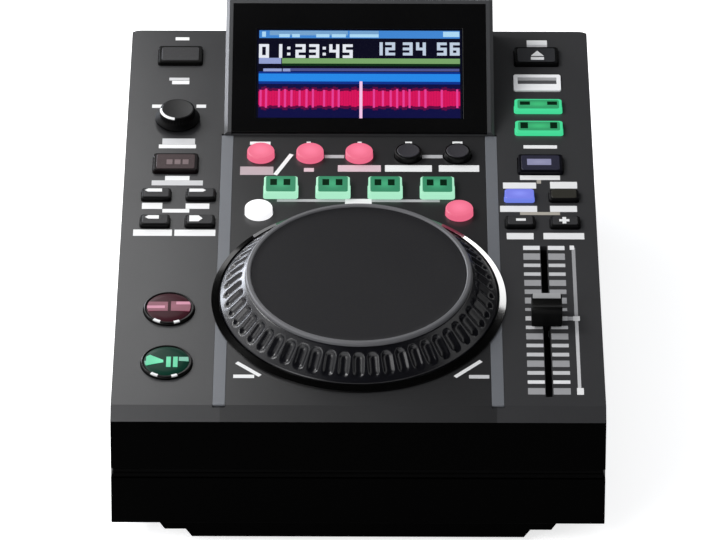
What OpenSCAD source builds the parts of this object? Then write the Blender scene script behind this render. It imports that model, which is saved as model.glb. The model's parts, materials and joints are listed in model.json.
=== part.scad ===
// Tabletop disc player for DJ use: a wedge-shaped case with a raised colour display, a jog wheel,
// a pitch fader, lit buttons, a slot-loading disc drive inside and its sockets at the back.
// Millimetres. X to the right, Y to the rear, Z up. The origin is on the table, under the middle
// of the whole part. Things on the sloping deck are placed by x, v (up the slope from its front
// edge) and n (square to it, 0 on its surface).

/* [Body] */
// Width of the case at its base
body_w = 217.8; // [216:0.1:240]
// How far each side leans in from the base to the rear deck edge
side_draft = 1; // [0.5:0.1:4]
// Length of the deck along its slope
deck_len = 278.7; // [277:0.1:300]
// Slope of the deck, rear edge higher
deck_tilt = 4; // [2:0.5:7]
// Height of the black front face
front_face_h = 55; // [48:0.5:70]
// Size of the bevel between the front face and the deck
bevel = 5.3; // [4:0.1:8]
// Wall thickness of the case
wall = 2.5; // [2:0.1:3.5]
// Thickness of the deck plate
deck_t = 2.5; // [2:0.1:3]
// Corner radius of the case in plan
case_corner_r = 5; // [2:0.5:8]
// Thickness of the front fascia
fascia_t = 3; // [2.5:0.1:4]
// Place of a trim strip beside the middle
strip_x = 61; // [60:0.5:61.5]
// Width of the trim strips
strip_w = 5.4; // [3:0.1:6]
// Thickness of the trim strips
strip_t = 1; // [0.8:0.1:1.5]

/* [Base] */
// Height of the rubber feet
foot_h = 4; // [3:0.5:8]
// Diameter of the rubber feet
foot_d = 18; // [12:1:24]
// Distance from the front or rear end of the pan to the middle of a foot
foot_inset = 26; // [16:1:40]
// Width of the lower step of the bottom pan
pan_lower_w = 152.5; // [130:0.5:160]
// Height of the lower step of the bottom pan
pan_lower_h = 4.1; // [3:0.1:8]
// Width of the upper step of the bottom pan
pan_upper_w = 177; // [170:0.5:190]
// Height of the upper step of the bottom pan
pan_upper_h = 4.8; // [2.5:0.1:6]
// How far the pan stands back from the front and rear faces
pan_setback = 2; // [1:0.5:20]
// How far each side of the lower step leans in
pan_lower_lean = 2.8; // [0.6:0.1:4]
// How far each side of the upper step leans in
pan_upper_lean = 3; // [1:0.1:6]
// Thickness of the bottom case's sheet
pan_t = 2; // [1.5:0.1:2.5]

/* [Display] */
// Width of the display housing
pod_w = 125.4; // [120:0.1:126]
// Where the display housing starts, up the deck slope
pod_v = 196; // [193:0.5:197]
// Length of the display face along its own slope
pod_len = 75.6; // [70:0.1:78]
// Angle of the display face above the deck
pod_tilt = 19; // [14:0.5:24]
// Height of the display face's front lip above the deck
pod_lip = 1.9; // [1.2:0.1:3]
// Bevel along the sides of the display face
pod_bevel = 1.6; // [1.5:0.1:3]
// Flat rim between the bevel and the black bezel
pod_rim = 1.7; // [1:0.1:3]
// Flat rim behind the black bezel
pod_top_rim = 2.4; // [1:0.1:4]
// Wall thickness of the display housing
pod_wall = 2.4; // [2:0.1:3]
// Thickness of the black display bezel
bezel_t = 1.8; // [1.5:0.1:2.5]
// Width of the lit area
screen_w = 96; // [80:0.5:98]
// Height of the lit area
screen_l = 50.5; // [40:0.5:54]
// Lower edge of the lit area, up the display face
screen_u = 8; // [7:0.5:12]

/* [Jog wheel] */
// Middle of the jog wheel, up the deck slope
jog_v = 74.5; // [72:0.5:80]
// Outer radius of the fixed base ring
jog_ring_r = 65.9; // [64:0.1:66]
// Height of the fixed base ring
jog_ring_h = 2; // [1.5:0.1:3]
// Width of the fixed base ring
jog_ring_w = 3.4; // [3:0.1:4]
// Outer radius of the trim ring on top of the wheel
jog_trim_r = 50.5; // [48:0.1:53]
// Width of the trim ring
jog_trim_w = 2.4; // [1.5:0.1:4]
// Height of the wheel's top above the deck
jog_h = 15.4; // [13:0.1:18]
// Radius of the jog spindle
spindle_r = 4; // [3:0.1:5]
// Number of finger dimples around the skirt
dimple_count = 54; // [24:1:60]
// Radius of the ball that cuts a finger dimple
dimple_ball_r = 4; // [3:0.1:5]
// Depth of a finger dimple
dimple_depth = 1; // [0.6:0.1:1.2]

/* [Buttons] */
// Gap around every button in the deck
button_gap = 0.35; // [0.3:0.05:0.5]
// Travel of a button
button_travel = 1; // [0.6:0.1:1.2]
// Height of the lit and round buttons above the deck
tall_button_h = 2.9; // [2:0.1:4]
// Height of the flat buttons above the deck
flat_button_h = 2; // [1.2:0.1:3]
// Diameter of the small round buttons
round_d = 12.6; // [10:0.1:14]
// Width of the four numbered pads
pad_w = 15.4; // [12:0.1:17]
// Length of the four numbered pads
pad_l = 13.6; // [11:0.1:14.5]
// Width of the wide buttons
wide_w = 20.6; // [18:0.1:21]
// Length of the wide buttons
wide_l = 13.4; // [11:0.1:13.8]
// Width of the two lit source buttons
source_w = 22; // [19:0.1:23]
// Length of the two lit source buttons
source_l = 9.2; // [7:0.1:9.5]
// Width of the small buttons
small_w = 13.4; // [11:0.1:14]
// Length of the small buttons
small_l = 7.8; // [6:0.1:8.5]
// Diameter of the cue and play buttons
transport_d = 22.6; // [20:0.1:23.5]
// Height of the cue and play buttons above the deck
transport_h = 1.2; // [0.8:0.1:2]

/* [Control places] */
// Middle of the left column of controls, in from the case's left side
left_inset = 24.4; // [23.3:0.1:26.3]
// Middle of the right column of controls, in from the case's right side
right_inset = 25.4; // [23.3:0.1:26.3]
// Middle of the left small buttons, in from the case's left side
left_pair_inset = 26.4; // [25.3:0.1:27.8]
// Half the spacing of the paired small buttons
pair_dx = 10.2; // [9:0.1:10.6]
// Row of the cue button
cue_v = 66.2; // [62:0.2:68]
// Row of the play button
play_v = 28.5; // [26:0.2:34]
// Lower row of small buttons
low_pair_v = 129.6; // [128:0.2:131]
// Upper row of small buttons
high_pair_v = 149.4; // [148:0.2:151]
// Row of the shift and scratch buttons
shift_v = 173.1; // [172:0.2:175]
// Row of the back and eject buttons
back_v = 257.2; // [255:0.2:259]
// Row of the lower source button
source_low_v = 201; // [198:0.2:202]
// Row of the upper source button
source_high_v = 218; // [216:0.2:219]
// Row of the five round loop buttons
loop_v = 180.6; // [179:0.2:181]
// Spacing of the round loop buttons
loop_pitch = 22.7; // [20:0.1:23]
// Row of the four numbered pads
pad_v = 154.6; // [153:0.2:156]
// Spacing of the four numbered pads
pad_pitch = 23.9; // [18:0.1:24]
// Row of the two round mode buttons
mode_v = 137.6; // [137:0.2:138.4]
// Place of a round mode button beside the middle
mode_x = 45.7; // [45:0.1:46.5]

/* [Browse knob] */
// Diameter of the browse knob's skirt
knob_d = 20.8; // [18:0.1:24]
// Diameter of the browse knob's grip
knob_grip_d = 16.6; // [14:0.1:17.6]
// Height of the browse knob above the deck
knob_h = 7.4; // [6:0.1:16]
// Row of the browse knob
knob_v = 206.5; // [204:0.5:210]
// Radius of its shaft
shaft_r = 3; // [2.5:0.1:3.5]
// Push travel of the browse knob
knob_travel = 0.8; // [0.5:0.1:1]

/* [Pitch fader] */
// Middle of the fader slot up the deck slope
fader_v = 59.6; // [59:0.2:62]
// Travel of the fader each way from its middle
fader_half_travel = 50; // [40:1:50]
// Width of the slot in the deck
fader_slot_w = 3; // [2.6:0.1:4]
// Width of the fader cap
cap_w = 13.6; // [10:0.1:16]
// Length of the fader cap along its travel
cap_l = 12.4; // [10:0.1:16]
// Height of the fader cap's top above the deck
cap_h = 10; // [8:0.1:14]

/* [Port on the deck] */
// Middle of the memory-stick port up the deck slope
port_v = 237.2; // [236:0.2:239]
// Width of the port's frame
port_w = 22.2; // [20:0.1:24]
// Length of the port's frame
port_l = 12.6; // [11:0.1:13]
// Width of the port's mouth
port_mouth_w = 12.6; // [12.4:0.1:13]
// Height of the port's mouth
port_mouth_l = 5.4; // [5:0.1:6]

/* [Disc drive] */
// Width of the disc slot
slot_w = 126; // [123:0.5:132]
// Height of the disc slot
slot_h = 5; // [4.8:0.1:6]
// Middle of the disc slot above the base of the case
slot_z = 27; // [26:0.5:32]
// Width of the drive chassis
drive_w = 140; // [138:0.5:150]
// Depth of the drive chassis
drive_l = 140; // [138:0.5:160]
// Height of the drive chassis below the disc
drive_below = 14; // [13:0.5:16]
// Height of the drive chassis above the disc
drive_above = 8; // [6:0.5:10]
// Sheet thickness of the drive chassis
drive_t = 1.5; // [1.2:0.1:2]
// Diameter of the loading roller
roller_d = 7; // [6:0.1:8]
// Diameter of the turntable
turntable_d = 30; // [26:0.5:34]
// Travel of the laser sled
sled_travel = 34; // [25:1:34]
// Radius of the sled's rails
rail_r = 1.5; // [1.2:0.1:2]

/* [Rear sockets] */
// Length of the audio jacks outside the rear face
jack_out = 8; // [7:0.5:10]
// Radius of the audio jacks
jack_r = 4.15; // [4:0.05:4.3]
// Spacing of the audio jacks
jack_pitch = 16; // [14:0.5:18]
// Width of the rear panel's window
rear_window_w = 176; // [170:1:180]
// Height of the rear panel's window
rear_window_h = 34; // [32:1:40]

/* [Hidden] */

$fn = 64;

// Main levels and planes
base_z = foot_h + pan_lower_h + pan_upper_h;
deck_front_z = base_z + front_face_h + bevel;
body_d = deck_len * cos(deck_tilt) + bevel;
front_y = -(body_d + jack_out) / 2;
rear_y = front_y + body_d;
deck_front_y = front_y + bevel;
deck_rear_z = deck_front_z + deck_len * sin(deck_tilt);
inner_front_y = front_y + fascia_t + wall;
inner_rear_y = rear_y - wall;

// Clearances and small common sizes
cut = 1;            // how far a cutting solid runs past what it cuts
fit = 0.3;          // gap between covers that fit into one another
running = 0.05;     // radial gap of a shaft in its hole
near = 0.1;         // gap between flat faces that slide past each other
screw_r = 1.4;
boss_r = 4;

// Columns of controls along the sides
left_x = body_w / 2 - left_inset;
right_x = body_w / 2 - right_inset;
left_pair_x = body_w / 2 - left_pair_inset;

// Case bosses, one in each corner
boss_side_inset = 12;
boss_front_inset = 11;
boss_rear_inset = 7.6;
boss_x = body_w / 2 - boss_side_inset;
boss_ys = [front_y + boss_front_inset, rear_y - boss_rear_inset];
boss_hole_l = 16;

// Trim strips
strip_end = 0.3;

// Buttons and their boards
flange_t = 1;
flange_w = 1.2;
corner_r = 1.2;
edge = 0.4;
board_n = -11;
board_t = 1.6;
switch_w = 6;
switch_h = 3.5;
stem_w = 3;
stem_gap = 0.3;
stem_n = board_n + switch_h + button_travel + stem_gap;
board_w = 34;
board_boss_r = 2.4;
left_board_v = [12, 262];
right_board_v = [121, 262];
centre_board_v = [129, 190];
centre_board_w = 110;
left_boss_v = [(cue_v + play_v) / 2, 100, (shift_v + knob_v) / 2 - 3.5, 240];
right_boss_v = [(high_pair_v + shift_v) / 2 - 1, 187.5, 227.2];
centre_boss = [[0, mode_v], [-pad_pitch, (pad_v + loop_v) / 2], [pad_pitch, (pad_v + loop_v) / 2]];
row_5 = [-2, -1, 0, 1, 2];
row_4 = [-1.5, -0.5, 0.5, 1.5];
left_pair = [-left_pair_x - pair_dx, -left_pair_x + pair_dx];
right_pair = [right_x - pair_dx, right_x + pair_dx];

// Jog wheel
jog_skirt_r = jog_ring_r - jog_ring_w - 0.4;
jog_skirt_n = 0.6;
jog_skirt_rim = 1.4;
jog_shell = 2.4;
jog_trim_t = 2;
jog_plate_r = jog_trim_r - jog_trim_w - near;
jog_seat_n = jog_h - jog_trim_t;
hub_r = 9;
bearing_flange_t = 2;
bearing_r = spindle_r + 2;
bearing_low_n = -9;
encoder_r = 30;
encoder_n = -12.6;
encoder_t = 1;
encoder_slots = 24;
spindle_low_n = -15;
sensor_board_v = jog_v + encoder_r + 5.5;
sensor_board_n = -16;

// Fader
fader_blade_l = 5;
fader_blade_t = 1.6;
fader_slot_l = 2 * fader_half_travel + fader_blade_l + 1.9;
fader_body_w = 12;
fader_body_end = 4.5;
fader_body_h = 12;
fader_wall = 1.5;
carriage_h = 5;
cap_low_n = 1;

// Browse knob
encoder_box = 12;
encoder_box_h = 6;
shaft_low_n = board_n + 0.4;
shaft_high_n = knob_h - 2.4;
knob_low_n = knob_travel + 0.6;

// Drive
disc_z = base_z + slot_z;
disc_gap = 2.2;
drive_y = inner_front_y + 0.6;
drive_low_z = disc_z - drive_below;
drive_high_z = disc_z + drive_above;
disc_setback = 68;
disc_y = drive_y + disc_setback;
motor_r = 13;
motor_h = 5;
turntable_shaft_r = 1.5;
rail_x = 20;
rail_z = drive_low_z + 6.2;
screw_x = 27;
lead_screw_r = 1.5;
rail_lead = 8;
rail_start = disc_y - rail_lead;
rail_post_l = 4;
rail_post_w = 6;
sled_l = 14;
sled_gap = 1;
sled_y = disc_y + turntable_d / 2 + sled_gap + sled_l / 2;
sled_h = 6;
roller_l = 112;
roller_setback = 9;
roller_y = drive_y + roller_setback;
roller_pin_r = 1.5;
roller_z = disc_z - disc_gap - near - roller_d / 2;
drive_post_r = 4;
drive_post_x = 60;
drive_post_inset = 12;
drive_post_ys = [drive_y + drive_post_inset, drive_y + drive_l - drive_post_inset];

// Rear panel and its sockets
rear_panel_t = 1.5;
rear_panel_lap = 4;
rear_panel_y = inner_rear_y;
rear_mid_z = base_z + 27;
jack_xs = [0, jack_pitch, 2 * jack_pitch];
jack_flange_r = 6;
jack_bore_r = 1.6;
jack_box = 12;
usb_b_x = -20;
usb_b = [12, 10.8];
usb_b_mouth = [8.4, 7.8];
net_x = 66;
net = [16, 13.4];
net_mouth = [11.7, 8];
port_depth = 14;
power_x = -60;
power_flange = [52, 30];
power_body = [47, 26];
power_depth = 24;
inlet_dx = -9;
inlet_mouth = [24, 16.4];
rocker_dx = 14;
rocker_w = 10;
rocker_h = 19;
rocker_pin_r = 1;
rocker_tilt = 7;

// Main board
main_board_rise = 10;
main_board_w = 170;
main_board_l = 96;
main_board_gap = 26;
main_board_z = base_z + main_board_rise;
main_board_y = inner_rear_y - main_board_gap - main_board_l / 2;
main_post_r = 3;
main_post_inset = 6.5;
main_post_x = main_board_w / 2 - main_post_inset;
main_post_dy = main_board_l / 2 - main_post_inset;
supply_w = 30;
supply_l = 44;
supply_h = 14;
chip_w = 22;
chip_h = 3;
plug_w = 14;
plug_l = 26;
plug_h = 6;
main_post_z = base_z + pan_t / 2;

// The display housing's own sizes
pod_top_v = pod_v + pod_len * cos(pod_tilt);
pod_top_n = pod_lip + pod_len * sin(pod_tilt);
pod_rear_v = deck_len - 3;
bezel_w = pod_w - 2 * (pod_bevel + pod_rim);
bezel_l = pod_len - pod_top_rim;
lcd_border = 4;
lcd_t = 4;
lcd_w = screen_w + 2 * lcd_border;
lcd_l = screen_l + 2 * lcd_border;
display_gap_v = 4;
display_gap_l = 54;

// ---------- Helpers ----------

// Height of the deck's surface at a depth y
function deck_z(y) = deck_front_z + (y - deck_front_y) * tan(deck_tilt);

// Half the width of the case at a height z
function half_w(z) = body_w / 2 - side_draft * (z - base_z) / (deck_rear_z - base_z);

// Points of an arc about c from angle a0 to a1
function arc(c, r, a0, a1, steps = 5) =
    [for (i = [0:steps]) c + r * [cos(a0 + (a1 - a0) * i / steps), sin(a0 + (a1 - a0) * i / steps)]];

// Places a thing on the deck
module on_deck(x = 0, v = 0, n = 0) {
    translate([0, deck_front_y, deck_front_z])
        rotate([deck_tilt, 0, 0])
            translate([x, v, n])
                children();
}

// Places a thing on the display's face: u up the face, w square to it
module on_display(u = 0, w = 0) {
    on_deck(0, pod_v, pod_lip)
        rotate([pod_tilt, 0, 0])
            translate([0, u, w])
                children();
}

// Extrudes a side view (y, z) across the width w
module side_extrude(w) {
    rotate([90, 0, 90])
        linear_extrude(height = w, center = true)
            children();
}

// Extrudes a front view (x, z) from depth y0 to y1
module front_extrude(y0, y1) {
    translate([0, y1, 0])
        rotate([90, 0, 0])
            linear_extrude(height = y1 - y0)
                children();
}

// Box centred on x and y, standing on z = 0
module block(w, l, h) {
    translate([-w / 2, -l / 2, 0])
        cube([w, l, h]);
}

// Rectangle with rounded corners, centred
module rounded(w, l, r) {
    square([w - 2 * r, l], center = true);
    square([w, l - 2 * r], center = true);
    for (sx = [-1, 1], sy = [-1, 1])
        translate([sx * (w / 2 - r), sy * (l / 2 - r)])
            circle(r, $fn = 32);
}

// ---------- Case ----------

// Side view of the whole upper case
module case_side() {
    polygon([
        [front_y + fascia_t, base_z],
        [front_y + fascia_t, base_z + front_face_h],
        [front_y, base_z + front_face_h],
        [deck_front_y, deck_front_z],
        [rear_y, deck_rear_z],
        [rear_y, base_z]]);
}

// Side view of the space inside it
module cavity_side() {
    roof = deck_t / cos(deck_tilt);
    polygon([
        [inner_front_y, base_z - cut],
        [inner_front_y, deck_z(inner_front_y) - roof],
        [inner_rear_y, deck_z(inner_rear_y) - roof],
        [inner_rear_y, base_z - cut]]);
}

// Front view of the case, leaning in to the top, moved in by inset
module case_front(inset, low, high) {
    polygon([
        [-half_w(low) + inset, low],
        [half_w(low) - inset, low],
        [half_w(high) - inset, high],
        [-half_w(high) + inset, high]]);
}

// Plan view of the case with its rounded rear corners
module case_plan() {
    x = body_w / 2 + cut;
    r = case_corner_r + cut;
    polygon(concat(
        [[-x, front_y - cut], [x, front_y - cut]],
        arc([x - r, rear_y - r], r, 0, 90),
        arc([r - x, rear_y - r], r, 90, 180)));
}

module case_block() {
    intersection() {
        side_extrude(body_w + 2 * cut) case_side();
        front_extrude(front_y - cut, rear_y + cut) case_front(0, base_z, deck_rear_z + cut);
        translate([0, 0, base_z - cut])
            linear_extrude(height = deck_rear_z)
                case_plan();
    }
}

module case_cavity() {
    intersection() {
        side_extrude(body_w) cavity_side();
        front_extrude(front_y, rear_y) case_front(wall, base_z - cut, deck_rear_z + cut);
    }
}

// One opening through the deck for a button w by l
module deck_opening(x, v, w, l, r = corner_r) {
    on_deck(x, v, -deck_t - cut)
        linear_extrude(height = deck_t + 2 * cut)
            rounded(w + 2 * button_gap, l + 2 * button_gap, r + button_gap);
}

// One round opening through the deck
module deck_bore(x, v, r) {
    on_deck(x, v, -deck_t - cut)
        cylinder(r = r, h = deck_t + 2 * cut);
}

module deck_openings() {
    for (side = [[-left_x, back_v], [right_x, back_v], [-left_x, shift_v], [right_x, shift_v]])
        deck_opening(side[0], side[1], wide_w, wide_l);
    for (v = [source_low_v, source_high_v])
        deck_opening(right_x, v, source_w, source_l);
    for (v = [low_pair_v, high_pair_v]) {
        for (x = left_pair)
            deck_opening(x, v, small_w, small_l);
        for (x = right_pair)
            deck_opening(x, v, small_w, small_l);
    }
    for (i = row_4)
        deck_opening(i * pad_pitch, pad_v, pad_w, pad_l);
    for (i = row_5)
        deck_bore(i * loop_pitch, loop_v, round_d / 2 + button_gap);
    for (sx = [-1, 1])
        deck_bore(sx * mode_x, mode_v, round_d / 2 + button_gap);
    for (v = [cue_v, play_v])
        deck_bore(-left_x, v, transport_d / 2 + button_gap);
    deck_bore(-left_x, knob_v, shaft_r + 1.5);
    deck_bore(0, jog_v, bearing_r + running);
    deck_opening(right_x, port_v, port_w, port_l);
    on_deck(right_x, fader_v, -deck_t - cut)
        block(fader_slot_w, fader_slot_l, deck_t + 2 * cut);
    // Room for the display module and its cable
    on_deck(0, pod_v + display_gap_v + display_gap_l / 2, -deck_t - cut)
        block(lcd_w + 2 * wall, display_gap_l, deck_t + 2 * cut);
    // Grooves for the two trim strips
    for (sx = [-1, 1])
        on_deck(sx * strip_x, pod_v / 2, -strip_t)
            block(strip_w + 2 * near, pod_v + 2 * cut, deck_t);
}

// Bosses under the deck that carry the control boards
module board_bosses() {
    tall = -board_n - deck_t / 2;
    for (v = left_boss_v)
        on_deck(-left_x, v, board_n) cylinder(r = board_boss_r, h = tall);
    for (v = right_boss_v)
        on_deck(right_x, v, board_n) cylinder(r = board_boss_r, h = tall);
    for (p = centre_boss)
        on_deck(p[0], p[1], board_n) cylinder(r = board_boss_r, h = tall);
    on_deck(0, sensor_board_v + 5, sensor_board_n + board_t)
        cylinder(r = board_boss_r, h = -sensor_board_n - board_t - deck_t / 2);
}

// Bosses in the corners that take the case screws
module case_bosses() {
    low = base_z + pan_t;
    for (sx = [-1, 1], y = boss_ys)
        translate([sx * boss_x, y, low])
            difference() {
                cylinder(r = boss_r, h = deck_z(y) - deck_t / 2 - low);
                translate([0, 0, -cut])
                    cylinder(r = screw_r + running, h = boss_hole_l + cut);
            }
}

module upper_case() {
    color("#47484a") {
        difference() {
            case_block();
            case_cavity();
            deck_openings();
            // Way through the front wall for the disc
            translate([0, front_y, disc_z - slot_h])
                block(slot_w + 6, 4 * fascia_t + 4 * wall, 2 * slot_h);
            // Window for the rear panel
            translate([0, rear_y, rear_mid_z - rear_window_h / 2])
                block(rear_window_w, 4 * wall, rear_window_h);
        }
        board_bosses();
        case_bosses();
    }
}

// Two plates, one below and one above the gap that the disc goes through
module front_fascia() {
    color("#050506")
        front_extrude(front_y, front_y + fascia_t) {
            case_front(0, base_z, disc_z - slot_h / 2);
            case_front(0, disc_z + slot_h / 2, base_z + front_face_h);
        }
}

// The stepped pan in front view, without its hollow
module pan_front() {
    upper = pan_upper_w / 2;
    lower = pan_lower_w / 2;
    step_z = base_z - pan_upper_h;
    polygon([
        [-upper, base_z],
        [pan_upper_lean - upper, step_z],
        [-lower, step_z],
        [pan_lower_lean - lower, foot_h],
        [lower - pan_lower_lean, foot_h],
        [lower, step_z],
        [upper - pan_upper_lean, step_z],
        [upper, base_z]]);
}

module bottom_case() {
    plate_w = 2 * (half_w(base_z + pan_t) - wall - fit);
    plate_y = [inner_front_y + fit, inner_rear_y - fit];
    pan_y = [front_y + pan_setback, rear_y - pan_setback];
    hollow_w = pan_lower_w - 2 * (pan_lower_lean + pan_t);
    floor_z = foot_h + pan_t;
    neck_w = pan_upper_w - 2 * pan_upper_lean;
    color("#1b1b1c") {
        difference() {
            union() {
                translate([0, (plate_y[0] + plate_y[1]) / 2, base_z])
                    block(plate_w, plate_y[1] - plate_y[0], pan_t);
                // Joins the plate, inside the walls, to the pan, under them
                translate([0, (plate_y[0] + plate_y[1]) / 2, base_z - pan_t / 2])
                    block(neck_w, plate_y[1] - plate_y[0] - 2 * fit, pan_t);
                front_extrude(pan_y[0], pan_y[1]) pan_front();
            }
            translate([0, (pan_y[0] + pan_y[1]) / 2, floor_z])
                block(hollow_w, pan_y[1] - pan_y[0] - 6 * pan_t, base_z);
            for (sx = [-1, 1], y = boss_ys)
                translate([sx * boss_x, y, base_z - cut])
                    cylinder(r = screw_r + fit, h = pan_t + 2 * cut);
        }
        for (sx = [-1, 1], y = drive_post_ys)
            translate([sx * drive_post_x, y, floor_z - pan_t / 2])
                cylinder(r = drive_post_r, h = drive_low_z - floor_z + pan_t / 2);
        for (sx = [-1, 1], sy = [-1, 1])
            translate([sx * main_post_x, main_board_y + sy * main_post_dy, main_post_z])
                cylinder(r = main_post_r, h = main_board_z - main_post_z);
    }
}

module rubber_feet() {
    r = foot_d / 2;
    color("#111111")
        for (sx = [-1, 1], y = [front_y + pan_setback + foot_inset, rear_y - pan_setback - foot_inset])
            translate([sx * (pan_lower_w / 2 - r - 4), y, 0])
                rotate_extrude()
                    polygon([[0, 0], [r - 0.8, 0], [r, 0.8], [r, foot_h], [0, foot_h]]);
}

module trim_strips() {
    color("#6e757c")
        for (sx = [-1, 1])
            on_deck(sx * strip_x, 0, -strip_t)
                translate([-strip_w / 2, strip_end, 0])
                    cube([strip_w, pod_v - 2 * strip_end, strip_t]);
}

module case_screws() {
    color("#26262a")
        for (sx = [-1, 1], y = boss_ys)
            translate([sx * boss_x, y, base_z]) {
                translate([0, 0, -1.6])
                    difference() {
                        cylinder(r = 3, h = 1.6);
                        translate([0, 0, -cut])
                            cylinder(r = 1.3, h = 1 + cut);
                    }
                cylinder(r = screw_r, h = boss_hole_l - 2);
            }
}

// ---------- Boards ----------

// The switch under a button
module tact_switch(x, v) {
    on_deck(x, v, board_n - board_t / 2)
        block(switch_w, switch_w, switch_h + board_t / 2);
}

// A flat board under the deck
module deck_board(x, w, v) {
    on_deck(x, (v[0] + v[1]) / 2, board_n - board_t)
        block(w, v[1] - v[0], board_t);
}

module left_board() {
    difference() {
        union() {
            deck_board(-left_x, board_w, left_board_v);
            for (v = [play_v, cue_v, shift_v, back_v])
                tact_switch(-left_x, v);
            for (x = left_pair, v = [low_pair_v, high_pair_v])
                tact_switch(x, v);
            on_deck(-left_x, knob_v, board_n - board_t / 2)
                block(encoder_box, encoder_box, encoder_box_h + board_t / 2);
        }
        on_deck(-left_x, knob_v, board_n - board_t - cut)
            cylinder(r = shaft_r + running, h = encoder_box_h + board_t + 2 * cut);
    }
}

module right_board() {
    difference() {
        union() {
            deck_board(right_x, board_w, right_board_v);
            for (v = [source_low_v, source_high_v, shift_v, back_v])
                tact_switch(right_x, v);
            for (x = right_pair, v = [low_pair_v, high_pair_v])
                tact_switch(x, v);
        }
        on_deck(right_x, port_v, board_n - board_t - cut)
            block(port_mouth_w + 5, port_mouth_l + 5, board_t + 2 * cut);
    }
}

module centre_board() {
    deck_board(0, centre_board_w, centre_board_v);
    for (i = row_5)
        tact_switch(i * loop_pitch, loop_v);
    for (i = row_4)
        tact_switch(i * pad_pitch, pad_v);
    for (sx = [-1, 1])
        tact_switch(sx * mode_x, mode_v);
}

// The fork that reads the encoder disc, on its small board
module jog_sensor() {
    fork_l = 10;
    difference() {
        union() {
            on_deck(0, sensor_board_v, sensor_board_n)
                block(30, 20, board_t);
            on_deck(0, sensor_board_v - 4, sensor_board_n + board_t / 2)
                block(8, fork_l, -sensor_board_n - 9);
        }
        on_deck(0, sensor_board_v - 7, encoder_n - fit)
            block(8 + 2 * cut, fork_l, encoder_t + 2 * fit);
    }
}

module control_boards() {
    color("#1f5a36") {
        left_board();
        right_board();
        centre_board();
        jog_sensor();
    }
}

module main_board() {
    color("#1f5a36")
        translate([0, main_board_y, main_board_z]) {
            block(main_board_w, main_board_l, board_t);
            translate([-main_board_w * 0.3, 0, board_t / 2])
                block(supply_w, supply_l, supply_h);
            for (x = [-0.08, 0.15] * main_board_w)
                translate([x, 0, board_t / 2])
                    block(chip_w, chip_w, chip_h);
            translate([main_board_w * 0.36, 0, board_t / 2])
                block(plug_w, plug_l, plug_h);
        }
}

// ---------- Display ----------

// Side view (v, n) of the display housing, moved in by inset
module display_side(inset) {
    polygon([
        [pod_v + 2 * inset, -cut * sign(inset)],
        [pod_v + 2 * inset, pod_lip - inset / cos(pod_tilt) + 2 * inset * tan(pod_tilt)],
        [pod_top_v - inset / 2, pod_top_n - inset * 1.4],
        [pod_rear_v - 2 * inset, pod_top_n - 6 - inset],
        [pod_rear_v - inset, -cut * sign(inset)]]);
}

module display_housing() {
    far = 2 * pod_len;
    half = pod_w / 2;
    color("#5b5e63")
        difference() {
            intersection() {
                on_deck() side_extrude(pod_w + 2 * cut) display_side(0);
                // Sides with their bevels, seen up the face
                on_display()
                    rotate([90, 0, 0])
                        translate([0, 0, -far])
                            linear_extrude(height = 2 * far)
                                polygon([
                                    [-half, -far], [half, -far], [half, -pod_bevel],
                                    [half - pod_bevel, 0], [pod_bevel - half, 0],
                                    [-half, -pod_bevel]]);
            }
            on_deck() side_extrude(pod_w - 2 * pod_wall) display_side(pod_wall);
            // Seat of the bezel, open to the front
            on_display((bezel_l - pod_lip) / 2, -bezel_t)
                block(bezel_w, bezel_l + pod_lip, 3 * bezel_t);
            // Way in for the display module
            on_display(screen_u + screen_l / 2, -3 * bezel_t)
                block(lcd_w + 2 * fit, lcd_l + 2 * fit, 3 * bezel_t);
        }
}

module display_bezel() {
    color("#070708")
        difference() {
            on_display(bezel_l / 2, -bezel_t)
                block(bezel_w - 2 * near, bezel_l - 2 * near, bezel_t);
            on_display(screen_u + screen_l / 2, -2 * bezel_t)
                block(screen_w + 0.6, screen_l + 0.6, 3 * bezel_t);
        }
}

module lcd_module() {
    color("#1c3f8c") {
        on_display(screen_u + screen_l / 2, -bezel_t - 1)
            block(screen_w, screen_l, bezel_t + 0.6);
        on_display(screen_u + screen_l / 2, -bezel_t - lcd_t)
            block(lcd_w, lcd_l, lcd_t);
    }
}

// ---------- Jog wheel ----------

module jog_base_ring() {
    inner = jog_ring_r - jog_ring_w;
    color("#09090a")
        on_deck(0, jog_v)
            rotate_extrude($fn = 128)
                polygon([
                    [inner, 0], [jog_ring_r, 0], [jog_ring_r, jog_ring_h - 1],
                    [jog_ring_r - 1, jog_ring_h], [inner + 0.4, jog_ring_h],
                    [inner, jog_ring_h - 0.4]]);
}

// Half section of the wheel's shell
module jog_section() {
    top = jog_seat_n;
    low = jog_skirt_n + jog_skirt_rim;
    polygon([
        [spindle_r, bearing_flange_t + near],
        [hub_r, bearing_flange_t + near],
        [hub_r, top - jog_shell],
        [jog_trim_r - 1.5, top - jog_shell],
        [jog_skirt_r - jog_shell, low],
        [jog_skirt_r - jog_shell, jog_skirt_n],
        [jog_skirt_r, jog_skirt_n],
        [jog_skirt_r, low],
        [jog_trim_r, top],
        [spindle_r, top]]);
}

module jog_platter() {
    run = jog_skirt_r - jog_trim_r;
    rise = jog_seat_n - jog_skirt_n - jog_skirt_rim;
    lean = atan2(run, rise);
    mid_r = jog_trim_r + run / 2;
    mid_n = jog_seat_n - rise / 2;
    out = dimple_ball_r - dimple_depth;
    color("#3a3d42")
        on_deck(0, jog_v)
            difference() {
                rotate_extrude($fn = 128)
                    jog_section();
                for (i = [0:dimple_count - 1])
                    rotate([0, 0, i * 360 / dimple_count])
                        translate([mid_r + out * cos(lean), 0, mid_n + out * sin(lean)])
                            sphere(r = dimple_ball_r, $fn = 32);
            }
}

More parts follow.
